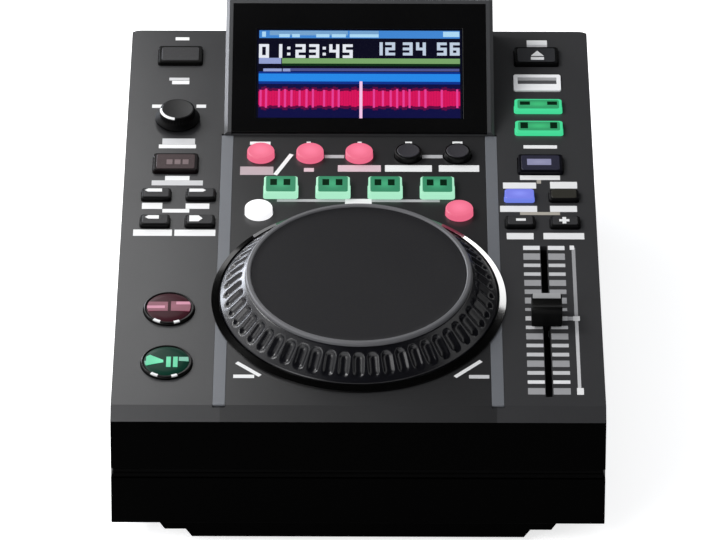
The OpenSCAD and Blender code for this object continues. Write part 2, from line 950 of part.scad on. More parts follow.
module jog_trim_ring() {
    inner = jog_trim_r - jog_trim_w;
    color("#8a8d92")
        on_deck(0, jog_v)
            rotate_extrude($fn = 128)
                polygon([
                    [inner, jog_seat_n], [jog_trim_r, jog_seat_n],
                    [jog_trim_r, jog_h - 0.6], [jog_trim_r - 0.6, jog_h],
                    [inner + 0.5, jog_h], [inner, jog_h - 0.5]]);
}

module jog_top_plate() {
    color("#2f3034")
        on_deck(0, jog_v)
            rotate_extrude($fn = 128)
                polygon([
                    [0, jog_seat_n], [jog_plate_r, jog_seat_n],
                    [jog_plate_r, jog_h - 0.6], [jog_plate_r - 3, jog_h - 1],
                    [0, jog_h - 1]]);
}

module jog_spindle() {
    color("#b9bcc0")
        on_deck(0, jog_v)
            rotate_extrude()
                polygon([
                    [0, spindle_low_n], [spindle_r, spindle_low_n],
                    [spindle_r, encoder_n + encoder_t],
                    [spindle_r + 2, encoder_n + encoder_t],
                    [spindle_r + 2, bearing_low_n - near],
                    [spindle_r, bearing_low_n - near],
                    [spindle_r, jog_seat_n], [0, jog_seat_n]]);
}

module jog_bearing() {
    color("#b08d57")
        on_deck(0, jog_v)
            rotate_extrude()
                polygon([
                    [spindle_r + running, bearing_low_n], [bearing_r, bearing_low_n],
                    [bearing_r, 0], [hub_r, 0], [hub_r, bearing_flange_t],
                    [spindle_r + running, bearing_flange_t]]);
}

module encoder_disc() {
    slot_l = 5;
    color("#c9ccd0")
        on_deck(0, jog_v, encoder_n)
            difference() {
                cylinder(r = encoder_r, h = encoder_t);
                translate([0, 0, -cut])
                    cylinder(r = spindle_r + running, h = encoder_t + 2 * cut);
                for (i = [0:encoder_slots - 1])
                    rotate([0, 0, i * 360 / encoder_slots])
                        translate([encoder_r - slot_l / 2 - 1.5, 0, -cut])
                            block(slot_l, 3, encoder_t + 2 * cut);
            }
}

// ---------- Browse knob and fader ----------

module browse_knob() {
    r = knob_d / 2;
    grip_r = knob_grip_d / 2;
    color("#141415")
        on_deck(-left_x, knob_v)
            rotate_extrude()
                polygon([
                    [shaft_r + running, knob_low_n], [r, knob_low_n],
                    [r, knob_low_n + 1.2], [grip_r + 0.6, knob_low_n + 2.2],
                    [grip_r, knob_low_n + 2.6], [grip_r - 0.2, knob_h - 0.7],
                    [grip_r - 0.9, knob_h], [0, knob_h - 0.5], [0, shaft_high_n + near],
                    [shaft_r + running, shaft_high_n + near]]);
}

module browse_shaft() {
    color("#b9bcc0")
        on_deck(-left_x, knob_v, shaft_low_n)
            cylinder(r = shaft_r, h = shaft_high_n - shaft_low_n);
}

module fader_body() {
    l = fader_slot_l + 2 * fader_body_end;
    low = -deck_t - fader_body_h;
    channel_w = fader_body_w - 2 * fader_wall;
    color("#3c3f44")
        on_deck(right_x, fader_v)
            difference() {
                translate([0, 0, low])
                    block(fader_body_w, l, fader_body_h);
                translate([0, 0, low + fader_wall])
                    block(channel_w, l - 2 * fader_wall, fader_body_h - 2 * fader_wall);
                translate([0, 0, low + fader_body_h - 2 * fader_wall])
                    block(fader_slot_w, fader_slot_l, 3 * fader_wall);
            }
}

module fader_lever() {
    floor_n = -deck_t - fader_body_h + fader_wall + near;
    channel_w = fader_body_w - 2 * fader_wall;
    color("#9a9da2")
        on_deck(right_x, fader_v) {
            translate([0, 0, floor_n])
                block(channel_w - 2 * near, fader_blade_l, carriage_h);
            translate([0, 0, floor_n])
                block(fader_blade_t, fader_blade_l, cap_h - 2 - floor_n);
        }
}

module fader_cap() {
    half = cap_l / 2;
    top = cap_h;
    color("#0d0d0e")
        on_deck(right_x, fader_v)
            difference() {
                side_extrude(cap_w)
                    polygon([
                        [-half, cap_low_n], [half, cap_low_n], [half, top - 2.6],
                        [half - 1, top], [1.6, top - 1.6], [-1.6, top - 1.6],
                        [1 - half, top], [-half, top - 2.6]]);
                translate([0, 0, cap_low_n - cut])
                    block(fader_blade_t + 2 * running, fader_blade_l + 2 * running,
                          cap_h - 2 - cap_low_n + cut);
            }
}

// ---------- Port ----------

module usb_port() {
    can_w = port_mouth_w + 2.4;
    can_l = port_mouth_l + 2.4;
    lip = 0.6;
    can_low = -deck_t - flange_t - port_depth;
    tongue_top = -7;
    color("#e8e8ea")
        on_deck(right_x, port_v) {
            difference() {
                union() {
                    translate([0, 0, -deck_t - flange_t / 2])
                        linear_extrude(height = deck_t + flange_t / 2 + lip)
                            rounded(port_w, port_l, corner_r);
                    translate([0, 0, -deck_t - flange_t])
                        block(port_w + 2 * flange_w, port_l + 2 * flange_w, flange_t);
                    translate([0, 0, can_low])
                        block(can_w, can_l, port_depth + flange_t / 2);
                }
                translate([0, 0, can_low + 1.2])
                    block(port_mouth_w, port_mouth_l, -can_low + cut);
                translate([0, 0, lip - 0.8])
                    block(port_w - 4, port_mouth_l + 2.4, 2 * lip);
            }
            translate([0, port_mouth_l / 2 - 1.2, can_low + 0.6])
                block(port_mouth_w - 1.2, 1.8, tongue_top - can_low - 0.6);
        }
}

// ---------- Buttons ----------

// The part of a button below the deck: its flange and the stem that presses the switch
module button_foot(w, l) {
    translate([0, 0, -deck_t - flange_t])
        block(w + 2 * flange_w, l + 2 * flange_w, flange_t);
    translate([0, 0, stem_n])
        block(stem_w, stem_w, -stem_n - deck_t - flange_t / 2);
}

module rect_button(x, v, w, l, h) {
    on_deck(x, v) {
        translate([0, 0, -deck_t - flange_t / 2])
            linear_extrude(height = deck_t + flange_t / 2 + h - edge)
                rounded(w, l, corner_r);
        translate([0, 0, h - 2 * edge])
            linear_extrude(height = 2 * edge)
                rounded(w - 2 * edge, l - 2 * edge, corner_r - edge / 2);
        button_foot(w, l);
    }
}

module round_button(x, v, d, h) {
    r = d / 2;
    on_deck(x, v) {
        rotate_extrude()
            polygon([
                [0, -deck_t - flange_t], [r + flange_w, -deck_t - flange_t],
                [r + flange_w, -deck_t], [r, -deck_t], [r, h - edge], [r - edge, h], [0, h]]);
        translate([0, 0, stem_n])
            block(stem_w, stem_w, -stem_n - deck_t - flange_t / 2);
    }
}

module back_button() {
    color("#4a4a4c")
        rect_button(-left_x, back_v, wide_w, wide_l, flat_button_h);
}
module shift_button() {
    color("#4b3c3e")
        rect_button(-left_x, shift_v, wide_w, wide_l, flat_button_h);
}
module eject_button() {
    color("#2c2e33")
        rect_button(right_x, back_v, wide_w, wide_l, flat_button_h);
}
module scratch_button() {
    color("#20203a")
        rect_button(right_x, shift_v, wide_w, wide_l, flat_button_h);
}
module source_button_1() {
    color("#2fb46a")
        rect_button(right_x, source_high_v, source_w, source_l, flat_button_h);
}
module source_button_2() {
    color("#2fb46a")
        rect_button(right_x, source_low_v, source_w, source_l, flat_button_h);
}

module small_button(x, v) { rect_button(x, v, small_w, small_l, flat_button_h); }
module beat_button_1() {
    color("#2a2a2c")
        small_button(left_pair[0], high_pair_v);
}
module beat_button_2() {
    color("#2a2a2c")
        small_button(left_pair[1], high_pair_v);
}
module beat_button_3() {
    color("#2a2a2c")
        small_button(left_pair[0], low_pair_v);
}
module beat_button_4() {
    color("#2a2a2c")
        small_button(left_pair[1], low_pair_v);
}
module range_button_left() {
    color("#7d87eb")
        small_button(right_pair[0], high_pair_v);
}
module range_button_right() {
    color("#2a2a26")
        small_button(right_pair[1], high_pair_v);
}
module bend_down_button() {
    color("#2a2a2c")
        small_button(right_pair[0], low_pair_v);
}
module bend_up_button() {
    color("#2a2a2c")
        small_button(right_pair[1], low_pair_v);
}

module transport_button(v) { round_button(-left_x, v, transport_d, transport_h); }
module cue_button() {
    color("#5a2a2c")
        transport_button(cue_v);
}
module play_button() {
    color("#1f5a44")
        transport_button(play_v);
}

module loop_button(i) { round_button(row_5[i] * loop_pitch, loop_v, round_d, tall_button_h); }
module loop_button_1() {
    color("#f08a94")
        loop_button(0);
}
module loop_button_2() {
    color("#f08a94")
        loop_button(1);
}
module loop_button_3() {
    color("#f08a94")
        loop_button(2);
}
module loop_button_4() {
    color("#17181a")
        loop_button(3);
}
module loop_button_5() {
    color("#17181a")
        loop_button(4);
}

module pad_button(i) { rect_button(row_4[i] * pad_pitch, pad_v, pad_w, pad_l, tall_button_h); }
module pad_button_1() {
    color("#2fb46a")
        pad_button(0);
}
module pad_button_2() {
    color("#2fb46a")
        pad_button(1);
}
module pad_button_3() {
    color("#2fb46a")
        pad_button(2);
}
module pad_button_4() {
    color("#2fb46a")
        pad_button(3);
}

module mode_button(x) { round_button(x, mode_v, round_d, tall_button_h); }
module mode_button_left() {
    color("#fbfbfb")
        mode_button(-mode_x);
}
module mode_button_right() {
    color("#f08a94")
        mode_button(mode_x);
}

// ---------- Rear sockets ----------

module rear_panel() {
    y = rear_panel_y - rear_panel_t;
    color("#101011")
        difference() {
            translate([0, y + rear_panel_t / 2, rear_mid_z - rear_window_h / 2 - rear_panel_lap])
                block(rear_window_w + 2 * rear_panel_lap, rear_panel_t,
                      rear_window_h + 2 * rear_panel_lap);
            for (x = jack_xs)
                translate([x, y - cut, rear_mid_z])
                    rotate([-90, 0, 0])
                        cylinder(r = jack_r + fit, h = rear_panel_t + 2 * cut);
            rear_hole(usb_b_x, usb_b);
            rear_hole(net_x, net);
            rear_hole(power_x, power_body);
        }
}

// Hole in the rear panel for a body of size [w, h]
module rear_hole(x, size) {
    translate([x, rear_panel_y - rear_panel_t / 2, rear_mid_z - size[1] / 2 - near])
        block(size[0] + 2 * near, 2 * wall, size[1] + 2 * near);
}

// A box behind the panel's outer face, out to past it by proud
module rear_box(x, size, depth, proud) {
    translate([x - size[0] / 2, rear_panel_y - depth, rear_mid_z - size[1] / 2])
        cube([size[0], depth + proud, size[1]]);
}

module audio_jack(x) {
    inner_y = rear_panel_y - rear_panel_t;
    translate([x, 0, rear_mid_z])
        difference() {
            union() {
                translate([0, inner_y - jack_box / 2, -jack_box / 2])
                    block(jack_box, jack_box, jack_box);
                translate([0, inner_y - cut, 0])
                    rotate([-90, 0, 0])
                        cylinder(r = jack_r, h = rear_y + jack_out - inner_y + cut);
                translate([0, rear_panel_y, 0])
                    rotate([-90, 0, 0])
                        cylinder(r = jack_flange_r, h = 1.4);
            }
            translate([0, inner_y - 6, 0])
                rotate([-90, 0, 0])
                    cylinder(r = jack_bore_r, h = rear_y + jack_out);
        }
}

// A rectangular socket: its shell, its hollow and the tongue in it
module box_socket(x, size, mouth, tongue) {
    proud = 1;
    difference() {
        rear_box(x, size, port_depth, proud);
        translate([x - mouth[0] / 2, rear_panel_y - port_depth + 1.2, rear_mid_z - mouth[1] / 2])
            cube([mouth[0], port_depth + 2 * proud, mouth[1]]);
    }
    translate([x - tongue[0] / 2, rear_panel_y - port_depth + 0.6, rear_mid_z + tongue[2]])
        cube([tongue[0], port_depth - 5.6, tongue[1]]);
}

module rear_sockets() {
    color("#c7c9cc") {
        for (x = jack_xs)
            audio_jack(x);
        box_socket(usb_b_x, usb_b, usb_b_mouth, [5.6, 3.2, -1.6]);
        box_socket(net_x, net, net_mouth, [9, 1.4, -3.4]);
    }
}

module power_inlet() {
    mouth_depth = 15;
    pin_short = 6;
    color("#0c0c0d") {
        difference() {
            union() {
                rear_box(power_x, power_body, power_depth, 1);
                rear_box(power_x, power_flange, 0, 2);
            }
            translate([power_x + inlet_dx, rear_panel_y, rear_mid_z - inlet_mouth[1] / 2])
                block(inlet_mouth[0], 2 * mouth_depth, inlet_mouth[1]);
            translate([power_x + rocker_dx, rear_panel_y + 2, rear_mid_z - rocker_h / 2 - 0.8])
                block(rocker_w + 2 * near, 24, rocker_h + 1.6);
            translate([power_x + rocker_dx, rear_panel_y - 2, rear_mid_z])
                rotate([0, 90, 0])
                    cylinder(r = rocker_pin_r + running, h = rocker_w + 4, center = true);
        }
        for (i = [-1, 0, 1])
            translate([power_x + inlet_dx + 7 * i, rear_panel_y - mouth_depth - cut,
                       rear_mid_z - 2 + 4 * (1 - abs(i)) - 2])
                translate([-1, 0, 0])
                    cube([2, mouth_depth + cut - pin_short, 4]);
    }
}

module power_rocker() {
    color("#a01c1c")
        translate([power_x + rocker_dx, rear_panel_y - 2, rear_mid_z]) {
            rotate([-rocker_tilt, 0, 0])
                side_extrude(rocker_w)
                    polygon([
                        [-6, -3], [-2, -6], [3.4, -rocker_h / 2 + 0.4], [4.6, -rocker_h / 2 + 0.4],
                        [3.2, 0], [4.6, rocker_h / 2 - 0.4], [3.4, rocker_h / 2 - 0.4],
                        [-2, 6], [-6, 3]]);
            rotate([0, 90, 0])
                cylinder(r = rocker_pin_r, h = rocker_w + 3, center = true);
        }
}

// ---------- Disc drive ----------

module drive_chassis() {
    back_y = drive_y + drive_l - drive_t;
    color("#9fa3a8") {
        difference() {
            translate([0, drive_y + drive_l / 2, drive_low_z])
                block(drive_w, drive_l, drive_high_z - drive_low_z);
            translate([0, drive_y + drive_l / 2 - drive_t, drive_low_z + drive_t])
                block(drive_w - 2 * drive_t, drive_l, drive_high_z - drive_low_z - 2 * drive_t);
            // Bores of the loading roller
            translate([0, roller_y, roller_z])
                rotate([0, 90, 0])
                    cylinder(r = roller_pin_r + running, h = drive_w + 2 * cut, center = true);
            turntable_bore();
        }
        // Spindle motor
        difference() {
            translate([0, disc_y, drive_low_z + drive_t / 2])
                cylinder(r = motor_r, h = motor_h + drive_t / 2);
            turntable_bore();
        }
        // Rails of the laser sled and the posts that hold them
        for (sx = [-1, 1]) {
            translate([sx * rail_x, rail_start, rail_z])
                rotate([-90, 0, 0])
                    cylinder(r = rail_r, h = back_y + drive_t / 2 - rail_start);
            rail_post(sx * rail_x, rail_start);
        }
        // Bushes of the lead screw
        for (y = [rail_start, back_y - rail_post_l])
            difference() {
                rail_post(screw_x, y);
                translate([screw_x, y - cut, rail_z])
                    rotate([-90, 0, 0])
                        cylinder(r = lead_screw_r + running, h = rail_post_l + 2 * cut);
            }
    }
}

module turntable_bore() {
    translate([0, disc_y, drive_low_z - cut])
        cylinder(r = turntable_shaft_r + running, h = motor_h + drive_t + 2 * cut);
}

module rail_post(x, y) {
    translate([x, y + rail_post_l / 2, drive_low_z + drive_t / 2])
        block(rail_post_w, rail_post_l, rail_z + 2.6 - drive_low_z - drive_t / 2);
}

module loading_roller() {
    r = roller_d / 2;
    half = roller_l / 2;
    pin = drive_w / 2 - 0.2;
    color("#1a1a1a")
        translate([0, roller_y, roller_z])
            rotate([0, 90, 0])
                rotate_extrude()
                    polygon([
                        [0, -pin], [roller_pin_r, -pin], [roller_pin_r, -half], [r, -half],
                        [r, half], [roller_pin_r, half], [roller_pin_r, pin], [0, pin]]);
}

module disc_turntable() {
    r = turntable_d / 2;
    low = drive_low_z + drive_t + motor_h + near;
    top = disc_z - disc_gap - near;
    color("#d0d2d5")
        translate([0, disc_y, 0])
            rotate_extrude()
                polygon([
                    [0, drive_low_z], [turntable_shaft_r, drive_low_z],
                    [turntable_shaft_r, low], [r, low], [r, top - 1.6], [7.4, top - 1.6],
                    [6.6, top], [0, top]]);
}

module laser_sled() {
    left = rail_x + 4;
    right = screw_x + 4;
    color("#24262a")
        difference() {
            union() {
                translate([-left, sled_y - sled_l / 2, rail_z - sled_h / 2])
                    cube([left + right, sled_l, sled_h]);
                translate([0, sled_y, rail_z])
                    cylinder(r = 4, h = sled_h / 2 + 1.6);
            }
            for (sx = [-1, 1])
                sled_bore(sx * rail_x, rail_r + running);
            sled_bore(screw_x, lead_screw_r + running);
        }
}

module sled_bore(x, r) {
    translate([x, sled_y - sled_l / 2 - cut, rail_z])
        rotate([-90, 0, 0])
            cylinder(r = r, h = sled_l + 2 * cut);
}

module lead_screw() {
    end_y = drive_y + drive_l - drive_t - 0.2;
    color("#b9bcc0")
        translate([screw_x, 0, rail_z])
            rotate([-90, 0, 0]) {
                translate([0, 0, rail_start - 5])
                    cylinder(r = lead_screw_r, h = end_y - rail_start + 5);
                translate([0, 0, rail_start - 4])
                    cylinder(r = 3.8, h = 3.6);
            }
}

upper_case();
front_fascia();
rear_panel();
bottom_case();
rubber_feet();
trim_strips();
case_screws();
control_boards();
main_board();
display_housing();
display_bezel();
lcd_module();
jog_base_ring();
jog_platter();
jog_trim_ring();
jog_top_plate();
jog_spindle();
jog_bearing();
encoder_disc();
browse_knob();
browse_shaft();
fader_body();
fader_lever();
fader_cap();
usb_port();
back_button();
shift_button();
beat_button_1();
beat_button_2();
beat_button_3();
beat_button_4();
cue_button();
play_button();
loop_button_1();
loop_button_2();
loop_button_3();
loop_button_4();
loop_button_5();
pad_button_1();
pad_button_2();
pad_button_3();
pad_button_4();
mode_button_left();
mode_button_right();
eject_button();
source_button_1();
source_button_2();
scratch_button();
range_button_left();
range_button_right();
bend_down_button();
bend_up_button();
rear_sockets();
power_inlet();
power_rocker();
drive_chassis();
loading_roller();
disc_turntable();
laser_sled();
lead_screw();
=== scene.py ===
# %% [markdown]
# # A tabletop disc player for DJ use
#
# This lesson dresses a finished mechanical model, so that it looks like the real player: a wedge
# of dark plastic with a tilted colour display, a dimpled jog wheel, lit buttons and a fader. The
# model comes in as a fixed frame. Its parts keep their places, and every piece that is added here
# rides on one of its moving bodies.

import json
import math

import bmesh
import bpy
from mathutils import Matrix, Quaternion, Vector


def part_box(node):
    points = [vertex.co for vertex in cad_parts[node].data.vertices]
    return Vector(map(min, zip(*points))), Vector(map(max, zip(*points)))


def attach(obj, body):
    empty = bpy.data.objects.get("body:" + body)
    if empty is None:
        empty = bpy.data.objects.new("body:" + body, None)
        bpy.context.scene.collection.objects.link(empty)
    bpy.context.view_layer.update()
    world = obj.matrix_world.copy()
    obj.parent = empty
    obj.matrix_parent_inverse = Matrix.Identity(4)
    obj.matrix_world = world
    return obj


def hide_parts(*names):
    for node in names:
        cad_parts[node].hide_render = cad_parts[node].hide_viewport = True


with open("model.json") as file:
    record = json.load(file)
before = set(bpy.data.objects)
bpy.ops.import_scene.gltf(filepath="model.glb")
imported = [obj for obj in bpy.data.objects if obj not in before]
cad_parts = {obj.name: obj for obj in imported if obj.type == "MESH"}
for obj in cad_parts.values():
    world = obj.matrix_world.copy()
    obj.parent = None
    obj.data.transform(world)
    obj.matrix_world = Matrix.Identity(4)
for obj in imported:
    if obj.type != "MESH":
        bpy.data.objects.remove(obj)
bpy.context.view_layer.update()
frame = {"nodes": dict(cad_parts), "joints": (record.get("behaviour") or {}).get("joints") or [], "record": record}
nodes = frame["nodes"]
joints = {joint["name"]: joint for joint in frame["joints"]}
print("nodes:", len(nodes), "joints:", len(joints))

# %% [markdown]
# ## Places on the sloping deck
#
# Nearly everything sits on a deck that slopes by four degrees. It is easier to say how far a
# piece is to the right (x), up the slope (v) and above the surface (n), all in millimetres, than
# to give world coordinates. The jog wheel's joint gives one point on the deck and the direction
# square to it, and the fader's joint gives the direction up the slope.

# %% The deck's axes
MM = 0.001
JOG_V = 74.5
ACROSS = Vector((1, 0, 0))
UP_DECK = Vector(joints["pitch_slide"]["axis"]).normalized()
OFF_DECK = Vector(joints["jog_spin"]["axis"]).normalized()
DECK_ORIGIN = Vector(joints["jog_spin"]["pos_m"]) - UP_DECK * JOG_V * MM


def deck_point(x, v, n=0.0):
    """A point on the deck, in metres, from millimetres across, up the slope and off it."""
    return DECK_ORIGIN + (ACROSS * x + UP_DECK * v + OFF_DECK * n) * MM


def deck_place(x=0.0, v=0.0, n=0.0):
    """The place of a shape drawn in millimetres: across, up the slope and off the deck."""
    turn = Matrix((ACROSS, UP_DECK, OFF_DECK)).transposed().to_4x4()
    return Matrix.Translation(deck_point(x, v, n)) @ turn @ Matrix.Scale(MM, 4)


print("deck slope:", round(math.degrees(math.asin(UP_DECK.z)), 2), "degrees")

# %% [markdown]
# ## The camera
#
# A long lens from far off keeps the two sides of the case almost parallel. The camera looks down
# at about 34 degrees from straight in front, so the deck is seen at a slant and the front face
# below it. It leans by a fifth of a degree, as a hand-levelled camera does.

# %% Camera
CAMERA_LENS = 279.5
CAMERA_DISTANCE = 2500
CAMERA_HEIGHT = math.radians(34.3)
CAMERA_LEAN = 0.0032
AIM_X, AIM_V = -0.36, 95.3

aim = deck_point(AIM_X, AIM_V)
camera = bpy.data.objects.new("camera", bpy.data.cameras.new("camera"))
camera.data.lens = CAMERA_LENS
camera.data.sensor_width = 36
camera.data.clip_end = 50
camera.location = aim + Vector((0, -math.cos(CAMERA_HEIGHT), math.sin(CAMERA_HEIGHT))) \
    * CAMERA_DISTANCE * MM
look_down = Matrix.Rotation(math.pi / 2 - CAMERA_HEIGHT, 4, "X")
camera.rotation_euler = (look_down @ Matrix.Rotation(CAMERA_LEAN, 4, "Z")).to_euler()
bpy.context.scene.collection.objects.link(camera)
bpy.context.scene.camera = camera
print("camera at", [round(value, 3) for value in camera.location])

# %% [markdown]
# ## Light and background
#
# The player is black and grey, so what shows on it is mostly what it reflects. A soft box stands
# behind it on the left, near enough that only the left column of controls mirrors it. Two more on
# the left light the wheel's skirt, one low from behind and one from the front. A narrow strip is
# there for the ring round the wheel alone, whose far side mirrors it as a white arc. Dark cards
# that only reflections see keep the glossy parts black. The floor and the far background are
# white to the camera, and the floor still takes the player's shadow.

# %% Shader trees
def shader_tree(owner):
    """Empties a material's or world's node tree and returns its nodes and links."""
    owner.use_nodes = True
    owner.node_tree.nodes.clear()
    return owner.node_tree.nodes, owner.node_tree.links


def put(links, socket, value):
    """Gives an input a plain value, or links another node's output to it."""
    if isinstance(value, bpy.types.NodeSocket):
        links.new(value, socket)
    elif value is not None:
        socket.default_value = value


def number(tree, links, kind, *values, clamp=False):
    """One Math node: its inputs are numbers or sockets, and its result is a socket."""
    node = tree.new("ShaderNodeMath")
    node.operation = kind
    node.use_clamp = clamp
    for socket, value in zip(node.inputs, values):
        put(links, socket, value)
    return node.outputs[0]


def vector(tree, links, kind, *values, scale=None):
    """One Vector Math node; a length or a distance comes out as a number."""
    node = tree.new("ShaderNodeVectorMath")
    node.operation = kind
    for socket, value in zip(node.inputs, values):
        put(links, socket, value)
    if scale is not None:
        put(links, node.inputs["Scale"], scale)
    return node.outputs["Value" if kind in ("LENGTH", "DISTANCE") else "Vector"]


def axis(tree, links, source, letter):
    """The X, Y or Z of a vector."""
    node = tree.new("ShaderNodeSeparateXYZ")
    links.new(source, node.inputs[0])
    return node.outputs[letter]


def blend_colours(tree, links, factor, first, second):
    """A colour between two colours."""
    node = tree.new("ShaderNodeMix")
    node.data_type = "RGBA"
    for name, value in (("Factor", factor), ("A", first), ("B", second)):
        put(links, node.inputs[name], value)
    return node.outputs["Result"]


def seen_directly(tree, links):
    """1 where the camera, a gloss reflection or a clear material looks at the background."""
    path = tree.new("ShaderNodeLightPath")
    either = number(tree, links, "ADD", path.outputs["Is Camera Ray"],
                    path.outputs["Is Glossy Ray"])
    return number(tree, links, "ADD", either, path.outputs["Is Transmission Ray"], clamp=True)


print("helpers for shader trees")

# %% World and floor
WORLD_LIGHT = 0.42
world = bpy.data.worlds.new("studio")
bpy.context.scene.world = world
tree, links = shader_tree(world)
ambient = tree.new("ShaderNodeBackground")
ambient.inputs["Color"].default_value = (0.95, 0.97, 1.0, 1)
ambient.inputs["Strength"].default_value = WORLD_LIGHT
white = tree.new("ShaderNodeBackground")
white.inputs["Color"].default_value = (1, 1, 1, 1)
white.inputs["Strength"].default_value = 1.0
mix = tree.new("ShaderNodeMixShader")
links.new(seen_directly(tree, links), mix.inputs["Fac"])
links.new(ambient.outputs[0], mix.inputs[1])
links.new(white.outputs[0], mix.inputs[2])
links.new(mix.outputs[0], tree.new("ShaderNodeOutputWorld").inputs["Surface"])

FLOOR_SIZE = 12
FLOOR_GLOW = 0.72
bpy.ops.mesh.primitive_plane_add(size=FLOOR_SIZE)
floor = bpy.context.object
floor.name = "studio_floor"
paper = bpy.data.materials.new("studio_paper")
floor.data.materials.append(paper)
tree, links = shader_tree(paper)
surface = tree.new("ShaderNodeBsdfPrincipled")
surface.inputs["Base Color"].default_value = (0.86, 0.86, 0.86, 1)
surface.inputs["Roughness"].default_value = 0.9
surface.inputs["Specular IOR Level"].default_value = 0.1
surface.inputs["Emission Color"].default_value = (1, 1, 1, 1)
glow = number(tree, links, "MULTIPLY", seen_directly(tree, links), FLOOR_GLOW)
links.new(glow, surface.inputs["Emission Strength"])
links.new(surface.outputs[0], tree.new("ShaderNodeOutputMaterial").inputs["Surface"])
print("floor glow to the camera:", FLOOR_GLOW)

# %% Lamps
def area_lamp(name, place, target, size, watts, colour=(1, 1, 1), roll=0, only_gloss=False):
    """A soft rectangular lamp at one point that faces another, rolled by some degrees."""
    data = bpy.data.lights.new(name, "AREA")
    data.shape = "RECTANGLE"
    data.size, data.size_y = size
    data.energy = watts
    data.color = colour
    lamp = bpy.data.objects.new(name, data)
    lamp.location = place
    facing = Vector(target) - Vector(place)
    turn = facing.to_track_quat("-Z", "Y") @ Quaternion((0, 0, 1), math.radians(roll))
    lamp.rotation_euler = turn.to_euler()
    lamp.visible_camera = False
    lamp.visible_diffuse = not only_gloss
    bpy.context.scene.collection.objects.link(lamp)
    return lamp


PALE_BLUE = (0.86, 0.90, 1.0)
PLAYER_MIDDLE = (0, 0, 0.06)
area_lamp("key_lamp", (-1.3, 0.3, 1.3), PLAYER_MIDDLE, (0.55, 0.55), 15)
area_lamp("front_lamp", (-1.3, -1.3, 0.9), PLAYER_MIDDLE, (1.0, 0.8), 8)
rear_left_box = area_lamp("rear_left_box", (-0.280, 0.26, 0.37), (-0.10, 0.0, 0.08),
                          (0.42, 0.36), 1.15)
low_left_box = area_lamp("low_left_box", (-0.62, 0.72, 0.14), (0, 0.02, 0.08),
                         (0.50, 0.26), 4.6, PALE_BLUE)
front_left_box = area_lamp("front_left_box", (-0.29, -0.50, 0.52), (-0.10, -0.1, 0.06),
                           (0.42, 0.25), 0.95)
ring_side = deck_point(58, 92, 1.4)
MIRRORED_WAY = Vector((0.369, 0.870, 0.326))
ring_strip = area_lamp("ring_strip", ring_side + MIRRORED_WAY * 0.6, ring_side, (0.42, 0.14), 1.6,
                       roll=-52, only_gloss=True)

# %% Dark cards that only reflections see
black_cloth = bpy.data.materials.new("black_cloth")
tree, links = shader_tree(black_cloth)
cloth = tree.new("ShaderNodeBsdfDiffuse")
cloth.inputs["Color"].default_value = (0.01, 0.01, 0.01, 1)
links.new(cloth.outputs[0], tree.new("ShaderNodeOutputMaterial").inputs["Surface"])


def dark_card(name, place, facing, size):
    """Adds a black card that shows in reflections only: no shade, and unseen by the camera."""
    bpy.ops.mesh.primitive_grid_add(x_subdivisions=2, y_subdivisions=2, size=1)
    card = bpy.context.object
    card.name = name
    card.scale = (*size, 1)
    card.location = place
    card.rotation_euler = Vector(facing).to_track_quat("Z", "Y").to_euler()
    card.visible_camera = False
    card.visible_diffuse = False
    card.visible_shadow = False
    card.data.materials.append(black_cloth)


CARDS = [("card_overhead", (0, -0.8, 1.3), (0, 0, 1), (3.2, 8.4)),
         ("card_right", (0.36, 0.45, 0.105), (1, 0, 0), (2.1, 0.22)),
         ("card_rear_left", (-0.17, 0.80, 0.15), (0, 1, 0), (0.28, 0.30))]
for card in CARDS:
    dark_card(*card)
print("cards:", len(CARDS))

# %% [markdown]
# ## Finishes that every material shares
#
# Moulded plastic is never one flat colour. It has a fine grain from the mould, patches of more and
# less gloss where hands have been, and a little dust on what faces up. Each of these is a node
# group, built once and used by many materials with their own values. The groups read the place on
# the object itself, so nothing slides when the camera moves.

# %% Building a group
COLOUR, VALUE = "NodeSocketColor", "NodeSocketFloat"


def new_group(name, inputs, outputs):
    """An empty shader node group: its tree, its links, and its input and output nodes."""
    group = bpy.data.node_groups.new(name, "ShaderNodeTree")
    for label, kind, value in inputs:
        socket = group.interface.new_socket(label, in_out="INPUT", socket_type=kind)
        socket.default_value = value
    for label, kind in outputs:
        group.interface.new_socket(label, in_out="OUTPUT", socket_type=kind)
    tree = group.nodes
    return tree, group.links, tree.new("NodeGroupInput"), tree.new("NodeGroupOutput")


def noise(tree, links, where, scale, detail=2.0):
    """A noise texture read at a place, with its scale a number or a socket."""
    node = tree.new("ShaderNodeTexNoise")
    for name, value in (("Detail", detail), ("Scale", scale), ("Vector", where)):
        put(links, node.inputs[name], value)
    return node.outputs["Fac"]


def on_object(tree):
    """The place on the object, in metres."""
    return tree.new("ShaderNodeTexCoord").outputs["Object"]


def spread_about(tree, links, value, centre, spread):
    """Turns a value that goes from 0 to 1 into centre plus or minus spread."""
    twice = number(tree, links, "MULTIPLY_ADD", value, 2.0, -1.0)
    return number(tree, links, "MULTIPLY_ADD", twice, spread, centre)


